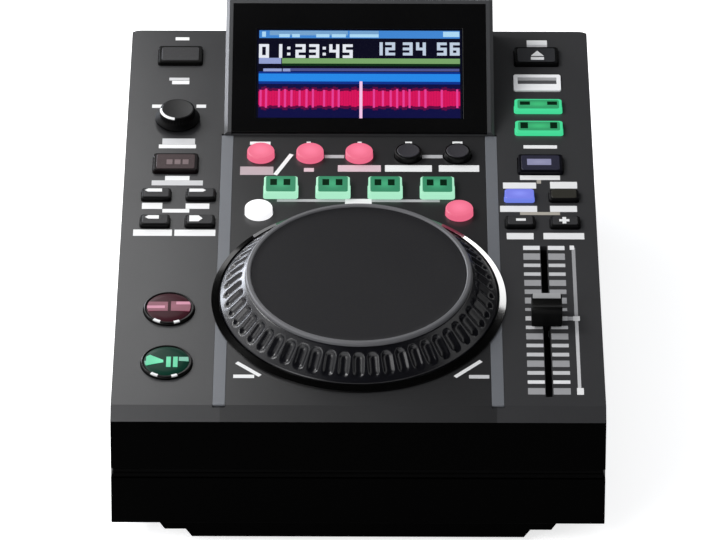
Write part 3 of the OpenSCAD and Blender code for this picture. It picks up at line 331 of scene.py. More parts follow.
# %% Grain of the mould
tree, links, given, result = new_group(
    "moulded_grain", [("Grains per Metre", VALUE, 2500.0), ("Tone Spread", VALUE, 0.06)],
    [("Height", VALUE), ("Tone", VALUE)])
where = on_object(tree)
pebbles = tree.new("ShaderNodeTexVoronoi")
links.new(where, pebbles.inputs["Vector"])
links.new(given.outputs["Grains per Metre"], pebbles.inputs["Scale"])
speckle = noise(tree, links, where, given.outputs["Grains per Metre"], 3.0)
links.new(number(tree, links, "MULTIPLY_ADD", pebbles.outputs["Distance"], 0.6, speckle),
          result.inputs["Height"])
patches = noise(tree, links, where, 26.0)
mottle = noise(tree, links, where, 260.0)
both = number(tree, links, "MULTIPLY_ADD", mottle, 0.4,
              number(tree, links, "MULTIPLY", patches, 0.6))
links.new(spread_about(tree, links, both, 1.0, given.outputs["Tone Spread"]),
          result.inputs["Tone"])
print("group:", "moulded_grain")

# %% Marks of handling
tree, links, given, result = new_group(
    "handling_painted_highlights", [("Base", VALUE, 0.5), ("Spread", VALUE, 0.1)], [("Roughness", VALUE)])
where = on_object(tree)
stretch = tree.new("ShaderNodeMapping")
stretch.inputs["Rotation"].default_value = (0.3, 0.2, 0.7)
stretch.inputs["Scale"].default_value = (1.0, 7.0, 3.0)
links.new(where, stretch.inputs["Vector"])
smears = noise(tree, links, where, 38.0, 3.0)
wipes = noise(tree, links, stretch.outputs["Vector"], 60.0, 4.0)
both = number(tree, links, "MULTIPLY_ADD", wipes, 0.45,
              number(tree, links, "MULTIPLY", smears, 0.55))
links.new(spread_about(tree, links, both, given.outputs["Base"], given.outputs["Spread"]),
          result.inputs["Roughness"])
print("group:", "handling_painted_highlights")

# %% Dust on what faces up
tree, links, given, result = new_group(
    "settled_dust", [("Amount", VALUE, 0.05)], [("Mask", VALUE)])
where = on_object(tree)
facing_up = axis(tree, links, tree.new("ShaderNodeNewGeometry").outputs["Normal"], "Z")
upward = number(tree, links, "POWER", number(tree, links, "MAXIMUM", facing_up, 0.0), 6.0)
specks = tree.new("ShaderNodeMapRange")
specks.inputs["From Min"].default_value = 0.52
specks.inputs["From Max"].default_value = 0.8
links.new(noise(tree, links, where, 1400.0, 1.0), specks.inputs["Value"])
film = noise(tree, links, where, 18.0)
falling = number(tree, links, "MULTIPLY_ADD", specks.outputs["Result"], 0.7,
                 number(tree, links, "MULTIPLY", film, 0.6))
mask = number(tree, links, "MULTIPLY", upward, falling)
links.new(number(tree, links, "MULTIPLY", mask, given.outputs["Amount"], clamp=True),
          result.inputs["Mask"])
print("group:", "settled_dust")

# %% Light from inside a cap
tree, links, given, result = new_group(
    "lit_cap", [("Core", COLOUR, (1, 1, 1, 1)), ("Rim", COLOUR, (0.5, 0.5, 0.5, 1)),
                ("Reach", VALUE, 0.9)], [("Colour", COLOUR)])
across_box = tree.new("ShaderNodeTexCoord").outputs["Generated"]
from_middle = vector(tree, links, "MULTIPLY_ADD", across_box, (2, 2, 0), (-1, -1, 0))
fall = tree.new("ShaderNodeMapRange")
fall.interpolation_type = "SMOOTHSTEP"
links.new(vector(tree, links, "LENGTH", from_middle), fall.inputs["Value"])
links.new(given.outputs["Reach"], fall.inputs["From Max"])
links.new(blend_colours(tree, links, fall.outputs["Result"], given.outputs["Core"],
                        given.outputs["Rim"]), result.inputs["Colour"])
print("group:", "lit_cap")

# %% Turning marks round the wheel
tree, links, given, result = new_group(
    "turned_rings", [("Rings per Metre", VALUE, 3000.0)], [("Height", VALUE), ("Shade", VALUE)])
HUB_HEIGHT = 14
from_hub = vector(tree, links, "DISTANCE", on_object(tree), deck_point(0, JOG_V, HUB_HEIGHT))
rings = tree.new("ShaderNodeTexNoise")
rings.noise_dimensions = "1D"
rings.inputs["Detail"].default_value = 3.0
rings.inputs["Scale"].default_value = 1.0
links.new(number(tree, links, "MULTIPLY", from_hub, given.outputs["Rings per Metre"]),
          rings.inputs["W"])
links.new(rings.outputs["Fac"], result.inputs["Height"])
links.new(spread_about(tree, links, rings.outputs["Fac"], 1.0, 0.12), result.inputs["Shade"])
print("group:", "turned_rings")

# %% Pixels of the display
tree, links, given, result = new_group(
    "screen_pixels", [("Colour", COLOUR, (1, 1, 1, 1)), ("Pixels per Metre", VALUE, 5000.0)],
    [("Colour", COLOUR)])
PIXEL_GAP = 0.14
grid = vector(tree, links, "SCALE", on_object(tree), scale=given.outputs["Pixels per Metre"])
cell = vector(tree, links, "FRACTION", grid)
gap_x = number(tree, links, "GREATER_THAN", axis(tree, links, cell, "X"), PIXEL_GAP)
gap_y = number(tree, links, "GREATER_THAN", axis(tree, links, cell, "Y"), PIXEL_GAP)
level = number(tree, links, "MULTIPLY_ADD", number(tree, links, "MULTIPLY", gap_x, gap_y),
               0.3, 0.78)
links.new(vector(tree, links, "SCALE", given.outputs["Colour"], scale=level),
          result.inputs["Colour"])
print("group:", "screen_pixels")

# %% [markdown]
# ## The materials
#
# One function mixes the shared groups into a moulded or painted finish: the mould's grain makes
# the bump and a slight change of tone, the handling marks change the roughness, and dust lies on
# top. What stays the same all over is set on the shader itself. Each of the model's material
# slots then gets its own colour and values.

# %% A surface from the groups
def use_group(tree, name, **values):
    """Places a node group and sets its inputs: a word's underscores stand for spaces."""
    node = tree.new("ShaderNodeGroup")
    node.node_tree = bpy.data.node_groups[name]
    for key, value in values.items():
        node.inputs[key.replace("_", " ")].default_value = value
    return node


# Where the deck's painted shade lies: within this half width of the middle, on faces that point up.
MIDDLE_HALF = 60.5
UPWARD_LIMIT = 0.3
DUST_COLOUR = (0.32, 0.31, 0.29, 1)


def painted_middle_shade(tree, links, tone):
    """A painted shade: a darker tone on what faces up between the trim strips, and 1 elsewhere."""
    across = number(tree, links, "ABSOLUTE", axis(tree, links, on_object(tree), "X"))
    near = number(tree, links, "LESS_THAN", across, MIDDLE_HALF * MM)
    facing_up = axis(tree, links, tree.new("ShaderNodeNewGeometry").outputs["Normal"], "Z")
    upward = number(tree, links, "GREATER_THAN", facing_up, UPWARD_LIMIT)
    middle = number(tree, links, "MULTIPLY", near, upward)
    return number(tree, links, "MULTIPLY_ADD", middle, tone - 1.0, 1.0)


def finish(name, colour, rough=0.5, spread=0.08, grain=2500.0, depth=0.02, tone=0.08, dust=0.06,
           metallic=0.0, specular=0.5, coat=0.0, coat_rough=0.1, rings=False, painted_middle_tone=1.0):
    """A plastic, paint or metal with grain, handling marks and dust.

    Lengths are in millimetres, and grain is in grains per metre. The last value is the tone of a
    painted shade on what faces up between the two trim strips, beside the tone of the rest.
    """
    material = bpy.data.materials.new(name)
    tree, links = shader_tree(material)
    shader = tree.new("ShaderNodeBsdfPrincipled")
    for label, value in (("Metallic", metallic), ("Specular IOR Level", specular),
                         ("Coat Weight", coat), ("Coat Roughness", coat_rough)):
        shader.inputs[label].default_value = value
    mould = use_group(tree, "moulded_grain", Grains_per_Metre=grain, Tone_Spread=tone)
    height, shade = mould.outputs["Height"], mould.outputs["Tone"]
    if rings:
        turned = use_group(tree, "turned_rings", Rings_per_Metre=2600.0)
        height = turned.outputs["Height"]
        shade = number(tree, links, "MULTIPLY", shade, turned.outputs["Shade"])
    # Painted shade: the colour is darker on what faces up between the trim strips.
    if painted_middle_tone != 1.0:
        shade = number(tree, links, "MULTIPLY", shade, painted_middle_shade(tree, links, painted_middle_tone))
    dust_mask = use_group(tree, "settled_dust", Amount=dust).outputs["Mask"]
    toned = vector(tree, links, "SCALE", colour, scale=shade)
    links.new(blend_colours(tree, links, dust_mask, toned, DUST_COLOUR),
              shader.inputs["Base Color"])
    marks = use_group(tree, "handling_painted_highlights", Base=rough, Spread=spread)
    links.new(marks.outputs["Roughness"], shader.inputs["Roughness"])
    bump = tree.new("ShaderNodeBump")
    bump.inputs["Distance"].default_value = depth * MM
    bump.inputs["Strength"].default_value = 0.6
    links.new(height, bump.inputs["Height"])
    links.new(bump.outputs["Normal"], shader.inputs["Normal"])
    links.new(shader.outputs[0], tree.new("ShaderNodeOutputMaterial").inputs["Surface"])
    return material


print("a finish from:", [group.name for group in bpy.data.node_groups])

# %% A cap that shines by itself
def lit(name, core, rim, glow, body=(0.02, 0.02, 0.02), rough=0.3, reach=0.9, pixels=False):
    """A cap or screen that shines by itself: core in its middle, rim towards its edge."""
    material = finish(name, body, rough=rough, spread=0.06, grain=3000, depth=0.01, tone=0.04,
                      dust=0.03, specular=0.4)
    tree, links = material.node_tree.nodes, material.node_tree.links
    shader = next(node for node in tree if node.type == "BSDF_PRINCIPLED")
    shader.inputs["Emission Strength"].default_value = glow
    if pixels:
        source = use_group(tree, "screen_pixels", Colour=(*core, 1), Pixels_per_Metre=5000.0)
    else:
        source = use_group(tree, "lit_cap", Core=(*core, 1), Rim=(*rim, 1), Reach=reach)
    links.new(source.outputs["Colour"], shader.inputs["Emission Color"])
    return material


print("a lit cap from:", "lit_cap", "screen_pixels")

# %% [markdown]
# ## A finish for every slot of the model
#
# The table below gives each slot of the model its colour and surface. Colours are the plastic's
# own, so the greys are written much darker than they look under the lamps. The fascia and the
# display's front are nearly black and smooth, and reflect little. The upper case has one more
# value: between the two trim strips its colour is darker than beside them, which is painted shade.

# %% Plastics, paints and metals
FINISHES = {
    # The upper case's colour is darker between the trim strips: a painted shade.
    "case_grey": dict(colour=(0.034, 0.034, 0.036), rough=0.31, spread=0.05, grain=3400,
                      depth=0.015, tone=0.10, dust=0.02, painted_middle_tone=0.55),
    "fascia_black": dict(colour=(0.0002, 0.0002, 0.0002), rough=0.6, spread=0.05, depth=0.006,
                         specular=0.01, dust=0.0),
    "base_black": dict(colour=(0.0002, 0.0002, 0.0002), rough=0.65, specular=0.01, dust=0.0),
    "strip_grey": dict(colour=(0.150, 0.158, 0.174), rough=0.42, grain=5000, depth=0.006,
                       tone=0.06, metallic=0.15, dust=0.02),
    "rubber_black": dict(colour=(0.012, 0.012, 0.012), rough=0.8, specular=0.3),
    "screw_black": dict(colour=(0.03, 0.03, 0.032), rough=0.35, metallic=0.8),
    "board_green": dict(colour=(0.02, 0.1, 0.045), rough=0.35, grain=900, coat=0.5),
    "housing_grey": dict(colour=(0.046, 0.047, 0.050), rough=0.34, spread=0.05, grain=3400,
                         depth=0.012, tone=0.06, dust=0.02),
    "bezel_black": dict(colour=(0.002, 0.002, 0.0022), rough=0.12, spread=0.03, depth=0.0,
                        specular=0.35, dust=0.015),
    "screen_blue": dict(colour=(0.002, 0.004, 0.012), rough=0.1, spread=0.03, depth=0.0,
                        dust=0.01),
    "jog_ring_black": dict(colour=(0.0006, 0.0006, 0.0006), rough=0.12, spread=0.03, depth=0.002,
                           specular=0.9, dust=0.01),
    "jog_grip": dict(colour=(0.006, 0.006, 0.0085), rough=0.25, spread=0.05, grain=3000,
                     depth=0.012, tone=0.05, dust=0.01),
    "jog_trim": dict(colour=(0.115, 0.115, 0.122), rough=0.45, spread=0.05, depth=0.006,
                     specular=0.35, rings=True),
    "jog_face": dict(colour=(0.0055, 0.0054, 0.0072), rough=0.5, spread=0.05, depth=0.004,
                     specular=0.18, tone=0.05, rings=True, dust=0.02),
    "steel": dict(colour=(0.55, 0.56, 0.58), rough=0.3, metallic=1.0, tone=0.03),
    "bronze": dict(colour=(0.5, 0.36, 0.16), rough=0.45, metallic=1.0, grain=4000),
    "knob_black": dict(colour=(0.001, 0.001, 0.0012), rough=0.5, grain=3600, depth=0.01,
                       specular=0.05, dust=0.0),
    "fader_black": dict(colour=(0.0025, 0.0025, 0.0025), rough=0.42, specular=0.1, dust=0.02),
    "fader_steel": dict(colour=(0.008, 0.008, 0.009), rough=0.5),
    "port_white": dict(colour=(0.93, 0.93, 0.94), rough=0.35, tone=0.03, depth=0.006, dust=0.02),
    "button_grey": dict(colour=(0.0015, 0.0015, 0.0015), rough=0.45, depth=0.006, specular=0.12,
                        dust=0.0),
    "button_maroon": dict(colour=(0.003, 0.0012, 0.0015), rough=0.4, depth=0.004, specular=0.15,
                          dust=0.0),
    "button_dark": dict(colour=(0.0015, 0.0015, 0.0018), rough=0.4, depth=0.006, specular=0.15,
                        dust=0.0),
    "button_violet": dict(colour=(0.0015, 0.0015, 0.004), rough=0.4, depth=0.004, specular=0.15,
                          dust=0.0),
    "cue_red": dict(colour=(0.0015, 0.001, 0.001), rough=0.3, depth=0.004, specular=0.2, dust=0.0),
    "play_green": dict(colour=(0.001, 0.0015, 0.0012), rough=0.3, depth=0.004, specular=0.2,
                       dust=0.0),
    "panel_black": dict(colour=(0.012, 0.012, 0.013), rough=0.45),
    "socket_metal": dict(colour=(0.5, 0.51, 0.52), rough=0.25, metallic=1.0, tone=0.03),
    "inlet_black": dict(colour=(0.01, 0.01, 0.011), rough=0.5),
    "rocker_red": dict(colour=(0.35, 0.012, 0.012), rough=0.25, depth=0.004, coat=0.3),
    "chassis_steel": dict(colour=(0.35, 0.36, 0.38), rough=0.4, metallic=1.0, grain=800),
    "sled_black": dict(colour=(0.02, 0.021, 0.024), rough=0.5),
}
materials = {name: finish(name, **values) for name, values in FINISHES.items()}
print("plain finishes:", len(materials))

# %% Caps that shine by themselves
LIT = {
    "button_green": dict(core=(0.070, 0.81, 0.37), rim=(0.06, 0.74, 0.33), glow=0.9,
                         body=(0.01, 0.05, 0.02)),
    "pad_mint": dict(core=(0.50, 0.90, 0.69), rim=(0.44, 0.88, 0.63), glow=0.9,
                     body=(0.01, 0.05, 0.02)),
    "button_blue": dict(core=(0.21, 0.31, 0.92), rim=(0.16, 0.22, 0.78), glow=0.95,
                        body=(0.02, 0.02, 0.06)),
    "button_pink": dict(core=(1.0, 0.22, 0.36), rim=(0.86, 0.15, 0.26), glow=0.92,
                        body=(0.08, 0.02, 0.025)),
    "button_white": dict(core=(1.0, 1.0, 1.0), rim=(0.93, 0.93, 0.95), glow=0.95,
                         body=(0.3, 0.3, 0.3)),
}
for name, values in LIT.items():
    materials[name] = lit(name, **values)

slot_of = {part["node"]: part["material_slot"] for part in frame["record"]["subparts"]}
for node_name, slot_name in slot_of.items():
    look = "pad_mint" if node_name.startswith("pad_button_") else slot_name
    nodes[node_name].material_slots[0].material = materials[look]
print("nodes finished:", len(slot_of))

# %% [markdown]
# ## Soft edges
#
# No moulded edge is perfectly sharp, and the thin light line along a rounded edge is what makes a
# part look real. The model's parts have sharp edges, and their shapes have to stay, so the
# rounding is done by modifiers: points that lie together are joined, flat faces are merged, and
# the sharp edges get a small bevel. A small geometry node group shades the faces smooth, and a
# weighted normal keeps the flat ones flat.

# %% Bevels on the model's parts
smooth_faces = bpy.data.node_groups.new("smooth_faces", "GeometryNodeTree")
for way in ("INPUT", "OUTPUT"):
    smooth_faces.interface.new_socket("Geometry", in_out=way, socket_type="NodeSocketGeometry")
shading = smooth_faces.nodes.new("GeometryNodeSetShadeSmooth")
smooth_faces.links.new(smooth_faces.nodes.new("NodeGroupInput").outputs[0], shading.inputs[0])
smooth_faces.links.new(shading.outputs[0], smooth_faces.nodes.new("NodeGroupOutput").inputs[0])


def soften(node_name, width, steps=2, sharp=35):
    """Rounds the sharp edges of one of the model's parts by a width in millimetres."""
    part = nodes[node_name]
    weld = part.modifiers.new("join_points", "WELD")
    weld.merge_threshold = 0.000005
    flat = part.modifiers.new("merge_flats", "DECIMATE")
    flat.decimate_type = "DISSOLVE"
    flat.angle_limit = math.radians(0.5)
    edge = part.modifiers.new("edge", "BEVEL")
    edge.width = width * MM
    edge.segments = steps
    edge.limit_method = "ANGLE"
    edge.angle_limit = math.radians(sharp)
    edge.use_clamp_overlap = True
    part.modifiers.new("smooth_faces", "NODES").node_group = smooth_faces
    even = part.modifiers.new("even_shading", "WEIGHTED_NORMAL")
    even.keep_sharp = False
    even.weight = 80


EDGE_WIDTHS = {"upper_case": 0.35, "front_fascia": 0.3, "bottom_case": 0.4, "trim_strips": 0.12,
               "display_housing": 0.25, "display_bezel": 0.2, "usb_port": 0.15,
               "rear_panel": 0.2, "power_inlet": 0.3, "power_rocker": 0.4}
for node_name, slot_name in slot_of.items():
    if node_name in EDGE_WIDTHS:
        soften(node_name, EDGE_WIDTHS[node_name])
    elif slot_name.startswith("button_") or slot_name in ("cue_red", "play_green"):
        soften(node_name, 0.3, steps=3)
print("softened:", sum(1 for part in nodes.values() if part.modifiers))

# %% [markdown]
# ## Drawing pieces in mesh code
#
# Most small parts of a player are one of two forms: a flat plate with some outline, or a shape
# turned round an axis. Both are rows of points that are joined by faces, so the helpers draw rows,
# join them, and close what is open: a shape is a real solid and not a loose sheet. A last helper
# ends the mesh, gives it a finish and lets it ride on a body. All of them work in millimetres.

# %% Rows of points
def add_row(shape, place, points):
    """Adds points, given in a place's own millimetres, and returns them as a row."""
    return [shape.verts.new(place @ Vector(point)) for point in points]


def round_point(radius, turn, height):
    """A point from its radius, its angle in radians and its height."""
    return radius * math.cos(turn), radius * math.sin(turn), height


def join_rows(shape, rows, closed=False):
    """Joins each row to the next by faces all round; a row of one point is a tip."""
    for lower, upper in zip(rows, rows[1:] + (rows[:1] if closed else [])):
        steps = max(len(lower), len(upper))
        for i in range(steps):
            j = (i + 1) % steps
            corners = [lower[i % len(lower)], lower[j % len(lower)],
                       upper[j % len(upper)], upper[i % len(upper)]]
            shape.faces.new(list(dict.fromkeys(corners)))


def cap_rows(shape, rows):
    """Closes the first row and the last one with a face each."""
    shape.faces.new(list(reversed(rows[0])))
    shape.faces.new(rows[-1])


print("rows of points")

# %% Plates and turned shapes
def add_plate(shape, outline, low, high, place, rim=0.0):
    """Adds a plate with an outline in millimetres; its top edge can be cut back by a rim."""
    middle = Vector((sum(p[0] for p in outline), sum(p[1] for p in outline), 0)) / len(outline)
    layers = [(low, 0.0), (high, 0.0)] if rim == 0 else [(low, 0.0), (high - rim, 0.0), (high, rim)]
    rows = []
    for height, inset in layers:
        points = []
        for x, y in outline:
            out = Vector((x, y, 0)) - middle
            near = 1 - inset / max(abs(out.x), abs(out.y), 0.001)
            spot = middle + out * max(near, 0.2)
            points.append((spot.x, spot.y, height))
        rows.append(add_row(shape, place, points))
    join_rows(shape, rows)
    cap_rows(shape, rows)


def add_turned(shape, profile, place, steps=96, closed=False):
    """Turns a profile of (radius, height) in millimetres round the place's own upright axis."""
    rows = [add_row(shape, place, [round_point(radius, 2 * math.pi * i / steps, height)
                                   for i in range(steps if radius > 0.001 else 1)])
            for radius, height in profile]
    join_rows(shape, rows, closed)


print("plate, turned shape")

# %% Finished pieces
def close_piece(name, shape, material, body="case", sharp=35):
    """Ends a mesh: one named piece with its finish, riding on a body."""
    bmesh.ops.recalc_face_normals(shape, faces=shape.faces)
    mesh = bpy.data.meshes.new(name)
    shape.to_mesh(mesh)
    shape.free()
    mesh.materials.append(material)
    mesh.shade_smooth()
    mesh.set_sharp_from_angle(angle=math.radians(sharp))
    piece = bpy.data.objects.new(name, mesh)
    bpy.context.scene.collection.objects.link(piece)
    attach(piece, body)
    return piece


def plate_piece(name, outlines, low, high, place, material, body="case", rim=0.0):
    """One piece of plates that share their heights and their place."""
    shape = bmesh.new()
    for outline in outlines:
        add_plate(shape, outline, low, high, place, rim)
    return close_piece(name, shape, material, body)


def turned_piece(name, profile, place, material, slot, body="case", sharp=35, **turning):
    """One piece turned from a profile."""
    shape = bmesh.new()
    add_turned(shape, profile, place, **turning)
    return close_piece(name, shape, material, body, sharp)


print("finished piece, of plates or turned")

# %% Outlines
def bar(x, y, w, l):
    """The outline of a rectangle about a point."""
    return [(x - w / 2, y - l / 2), (x + w / 2, y - l / 2),
            (x + w / 2, y + l / 2), (x - w / 2, y + l / 2)]


def rounded_bar(w, l, r, steps=5):
    """The outline of a rectangle with round corners about its own middle."""
    points = []
    for sx, sy, start in ((1, 1, 0), (-1, 1, 90), (-1, -1, 180), (1, -1, 270)):
        for i in range(steps + 1):
            turn = math.radians(start + 90 * i / steps)
            points.append((sx * (w / 2 - r) + r * math.cos(turn),
                           sy * (l / 2 - r) + r * math.sin(turn)))
    return points


def stroke(x0, y0, x1, y1, width):
    """The outline of a straight stroke between two points."""
    along = Vector((x1 - x0, y1 - y0)).normalized() * width / 2
    side = Vector((-along.y, along.x))
    return [(x0 + side.x, y0 + side.y), (x0 - side.x, y0 - side.y),
            (x1 - side.x, y1 - side.y), (x1 + side.x, y1 + side.y)]


print("bar, rounded bar, stroke")

# %% [markdown]
# ## The jog wheel
#
# The wheel's sloping skirt has 54 finger dimples, each a long shallow hollow that runs up the
# slope. A texture could fake them, but the light on their rims shows in every view, so they are
# modelled: the skirt is a fine grid round the axis, and each point sinks along the slope's own
# normal by how deep it lies inside the nearest dimple. The rest of the wheel is one closed shell.

# %% Dimpled wheel
DIMPLES = 54
SKIRT_TOP = (50.5, 13.4)
SKIRT_FOOT = (62.1, 2.0)
DIMPLE_HALF_WIDTH = 2.45
DIMPLE_HALF_STRAIGHT = 3.1
DIMPLE_DEEP = 1.35
DIMPLE_BOWL = 0.75
STEPS_PER_DIMPLE = 14
SKIRT_ROWS = 26
SHELL_INSIDE = [(62.1, 0.7), (59.8, 0.7), (59.8, 1.8), (49.2, 11.0), (44.0, 11.0), (44.0, 13.4)]

slope = Vector((SKIRT_FOOT[0] - SKIRT_TOP[0], SKIRT_FOOT[1] - SKIRT_TOP[1]))
slope_out = Vector((-slope.y, slope.x)).normalized()
columns = DIMPLES * STEPS_PER_DIMPLE
wheel_place = deck_place(0, JOG_V)
shape = bmesh.new()
rows = []
for row in range(SKIRT_ROWS + 1):
    part_way = row / SKIRT_ROWS
    radius = SKIRT_TOP[0] + slope.x * part_way
    height = SKIRT_TOP[1] + slope.y * part_way
    along = (part_way - 0.5) * slope.length
    points = []
    for i in range(columns):
        across = (i % STEPS_PER_DIMPLE / STEPS_PER_DIMPLE - 0.5) * 2 * math.pi * radius / DIMPLES
        beyond = max(abs(along) - DIMPLE_HALF_STRAIGHT, 0)
        away = math.hypot(across, beyond) / DIMPLE_HALF_WIDTH
        sink = DIMPLE_DEEP * max(1 - away * away, 0) ** DIMPLE_BOWL
        points.append(round_point(radius - slope_out.x * sink, 2 * math.pi * i / columns,
                                  height - slope_out.y * sink))
    rows.append(add_row(shape, wheel_place, points))
for radius, height in SHELL_INSIDE:
    rows.append(add_row(shape, wheel_place, [
        round_point(radius, 2 * math.pi * i / columns, height) for i in range(columns)]))
join_rows(shape, rows, closed=True)
wheel = close_piece("jog_grip_wheel", shape, materials["jog_grip"], "jog_wheel",
                    sharp=50)
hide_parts("jog_platter")
soften("jog_top_plate", 0.25, sharp=20)
soften("jog_trim_ring", 0.15, sharp=35)
print("wheel faces:", len(wheel.data.polygons))

# %% [markdown]
# ## The ring under the wheel
#
# A fixed ring of glossy black plastic lies round the wheel. Its top falls away outwards, like a
# shallow cone with a rounded crown, so that it mirrors what stands low behind the player. It is
# turned as one closed profile.

# %% Glossy base ring
RIM_PROFILE = [(62.55, 0.0), (62.55, 2.0), (63.0, 2.0), (65.88, 0.78), (65.88, 0.0)]
rim = turned_piece("jog_rim_ring", RIM_PROFILE, wheel_place, materials["jog_ring_black"],
                   "jog_ring_black", sharp=15, steps=240, closed=True)
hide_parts("jog_base_ring")
print("rim faces:", len(rim.data.polygons))

# %% [markdown]
# ## Which lamps light the ring
#
# The ring is glossy, and every lamp near it would show in it as a bright patch. Light linking
# gives each lamp a list of pieces: it lights only those, or all but those. The strip lamp lights
# the ring and the wheel's top plate, and the soft boxes leave the ring out.

# %% Lamps for some pieces only
def choose_receivers(lamp, pieces, state):
    """Lets a lamp light only some pieces (INCLUDE), or all but them (EXCLUDE)."""
    group = bpy.data.collections.new(lamp.name + "_receivers")
    for piece in pieces:
        group.objects.link(piece)
    for entry in group.collection_objects:
        entry.light_linking.link_state = state
    lamp.light_linking.receiver_collection = group


choose_receivers(ring_strip, [rim, nodes["jog_top_plate"]], "INCLUDE")
choose_receivers(rear_left_box, [rim], "EXCLUDE")
choose_receivers(low_left_box, [rim], "EXCLUDE")
choose_receivers(front_left_box, [rim, wheel], "EXCLUDE")
print("lamps with chosen receivers:", 4)

# %% [markdown]
# ## The browse knob
#
# A short rubber knob with a wide foot, a grip with fine flutes and a slightly dished top. It is
# drawn like the wheel: rings round an axis whose radius swings in and out where the flutes are.
# A pale arc on the edge of its top is a painted highlight of the rim.

# %% Browse knob
KNOB_X, KNOB_V = -84.5, 206.5
KNOB_FLUTES = 36
STEPS_PER_FLUTE = 6
FLUTE_DEEP = 0.22
KNOB_PROFILE = [(3.3, 1.45, 0), (10.2, 1.45, 0), (10.4, 1.65, 0), (10.4, 2.4, 0), (10.1, 2.75, 0),
                (9.0, 3.4, 0), (8.45, 3.9, 0), (8.3, 4.2, 1), (8.2, 6.4, 1), (8.05, 6.9, 0.5),
                (7.75, 7.1, 0), (7.5, 7.1, 0), (7.4, 6.6, 0), (0.0, 6.6, 0)]
KNOB_DISC = [(0.0, 6.5), (7.3, 6.5), (7.42, 6.7), (7.42, 7.1), (7.1, 7.38), (6.6, 7.32),
             (4.0, 7.02), (0.0, 6.92)]
knob_place = deck_place(KNOB_X, KNOB_V)
steps = KNOB_FLUTES * STEPS_PER_FLUTE
shape = bmesh.new()
rows = []
for radius, height, flute in KNOB_PROFILE:
    turns = [2 * math.pi * i / steps for i in range(steps if radius else 1)]
    rows.append(add_row(shape, knob_place, [
        round_point(radius - flute * FLUTE_DEEP * (0.5 - 0.5 * math.cos(KNOB_FLUTES * turn)),
                    turn, height) for turn in turns]))
join_rows(shape, rows)
shape.faces.new(list(reversed(rows[0])))
knob = close_piece("browse_knob_cap", shape, materials["knob_black"],
                   "browse_knob", sharp=50)
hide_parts("browse_knob")
knob_satin = finish("knob_satin", (0.005, 0.005, 0.0055), rough=0.42, grain=3600, depth=0.01,
                    specular=0.35, dust=0.01)
turned_piece("browse_knob_disc", KNOB_DISC, knob_place, knob_satin, "knob_black", "browse_knob")
print("knob rings:", len(rows))

# %% The knob's painted highlight
# White of the print; the same material paints the highlights on the knob's rim and on the cue and play rings.
ink_white = finish("ink_white", (0.80, 0.80, 0.80), rough=0.5, depth=0.003, tone=0.05, dust=0.0)
# A pale arc along the left front of the top's edge: a painted highlight, where the rim would catch the light.
ARC_START, ARC_END, ARC_PARTS = 178, 262, 14
ARC_SIDE = [(8.14, 6.7), (8.1, 6.95), (7.75, 7.31), (7.2, 7.46), (6.95, 7.2), (7.7, 6.5)]
shape = bmesh.new()
rows = []
for i in range(ARC_PARTS + 1):
    turn = math.radians(ARC_START + (ARC_END - ARC_START) * i / ARC_PARTS)
    rows.append(add_row(shape, knob_place, [round_point(r, turn, n) for r, n in ARC_SIDE]))
join_rows(shape, rows)
cap_rows(shape, rows)
close_piece("browse_knob_painted_highlight", shape, ink_white, "browse_knob")
print("arc:", ARC_END - ARC_START, "degrees")

# %% [markdown]
# ## The fader's cap
#
# The cap is a small saddle: high at its two ends, low in the middle, so that a finger rests in
# it. One side view is repeated across its width, drawn in a little at both ends.

# %% Fader cap
FADER_X, FADER_V = 83.5, 60.2
CAP_SIDE = [(-6.2, 1.05), (6.2, 1.05), (6.1, 7.4), (5.7, 10.0), (5.1, 10.7), (4.5, 10.8),
            (3.2, 10.3), (1.6, 9.5), (0.5, 9.2), (-0.5, 9.2), (-1.6, 9.5), (-3.2, 10.3),
            (-4.5, 10.8), (-5.1, 10.7), (-5.7, 10.0), (-6.1, 7.4)]
CAP_SLICES = [(-6.8, 0.93), (-6.65, 0.975), (-6.3, 1.0), (6.3, 1.0), (6.65, 0.975), (6.8, 0.93)]
CAP_MIDDLE = 5.5
cap_place = deck_place(FADER_X, FADER_V)
shape = bmesh.new()
rows = [add_row(shape, cap_place, [(x, v * narrow, CAP_MIDDLE + (n - CAP_MIDDLE) * narrow)
                                   for v, n in CAP_SIDE]) for x, narrow in CAP_SLICES]
join_rows(shape, rows)
cap_rows(shape, rows)
cap = close_piece("fader_saddle_cap", shape, materials["fader_black"], "fader",
                  sharp=40)
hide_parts("fader_cap")
print("cap slices:", len(CAP_SLICES))

# %% A painted highlight on the cap's rear crest
# A light grey skin over the rear crest is a painted highlight of that edge.
CREST = [(2.7, 10.1), (3.2, 10.3), (4.5, 10.8), (5.1, 10.7), (5.7, 10.0), (5.9, 8.8)]
SKIN = 0.12
CREST_HALF_WIDTH = 6.2
under = [(v - SKIN, n - SKIN) for v, n in CREST]
over = [(v + SKIN, n + SKIN) for v, n in reversed(CREST)]
shape = bmesh.new()
rows = [add_row(shape, cap_place, [(x, v, n) for v, n in under + over])
        for x in (-CREST_HALF_WIDTH, CREST_HALF_WIDTH)]
join_rows(shape, rows)
cap_rows(shape, rows)
# Pale grey for the painted highlight on the crest.
painted_crest_highlight = finish("painted_crest_highlight", (0.34, 0.34, 0.345), rough=0.5, depth=0.003, dust=0.0)
close_piece("fader_cap_painted_highlight", shape, painted_crest_highlight, "fader")
print("line:", 2 * CREST_HALF_WIDTH, "mm wide")

# %% [markdown]
# ## Caps on the flat buttons
#
# The flat buttons are black glossy keys with a coloured cap let into them, so a dark frame stays
# round each cap. A cap is a low plate with round corners and a rim cut back at its top edge. The
# same table places all of them, and each rides on its own button.

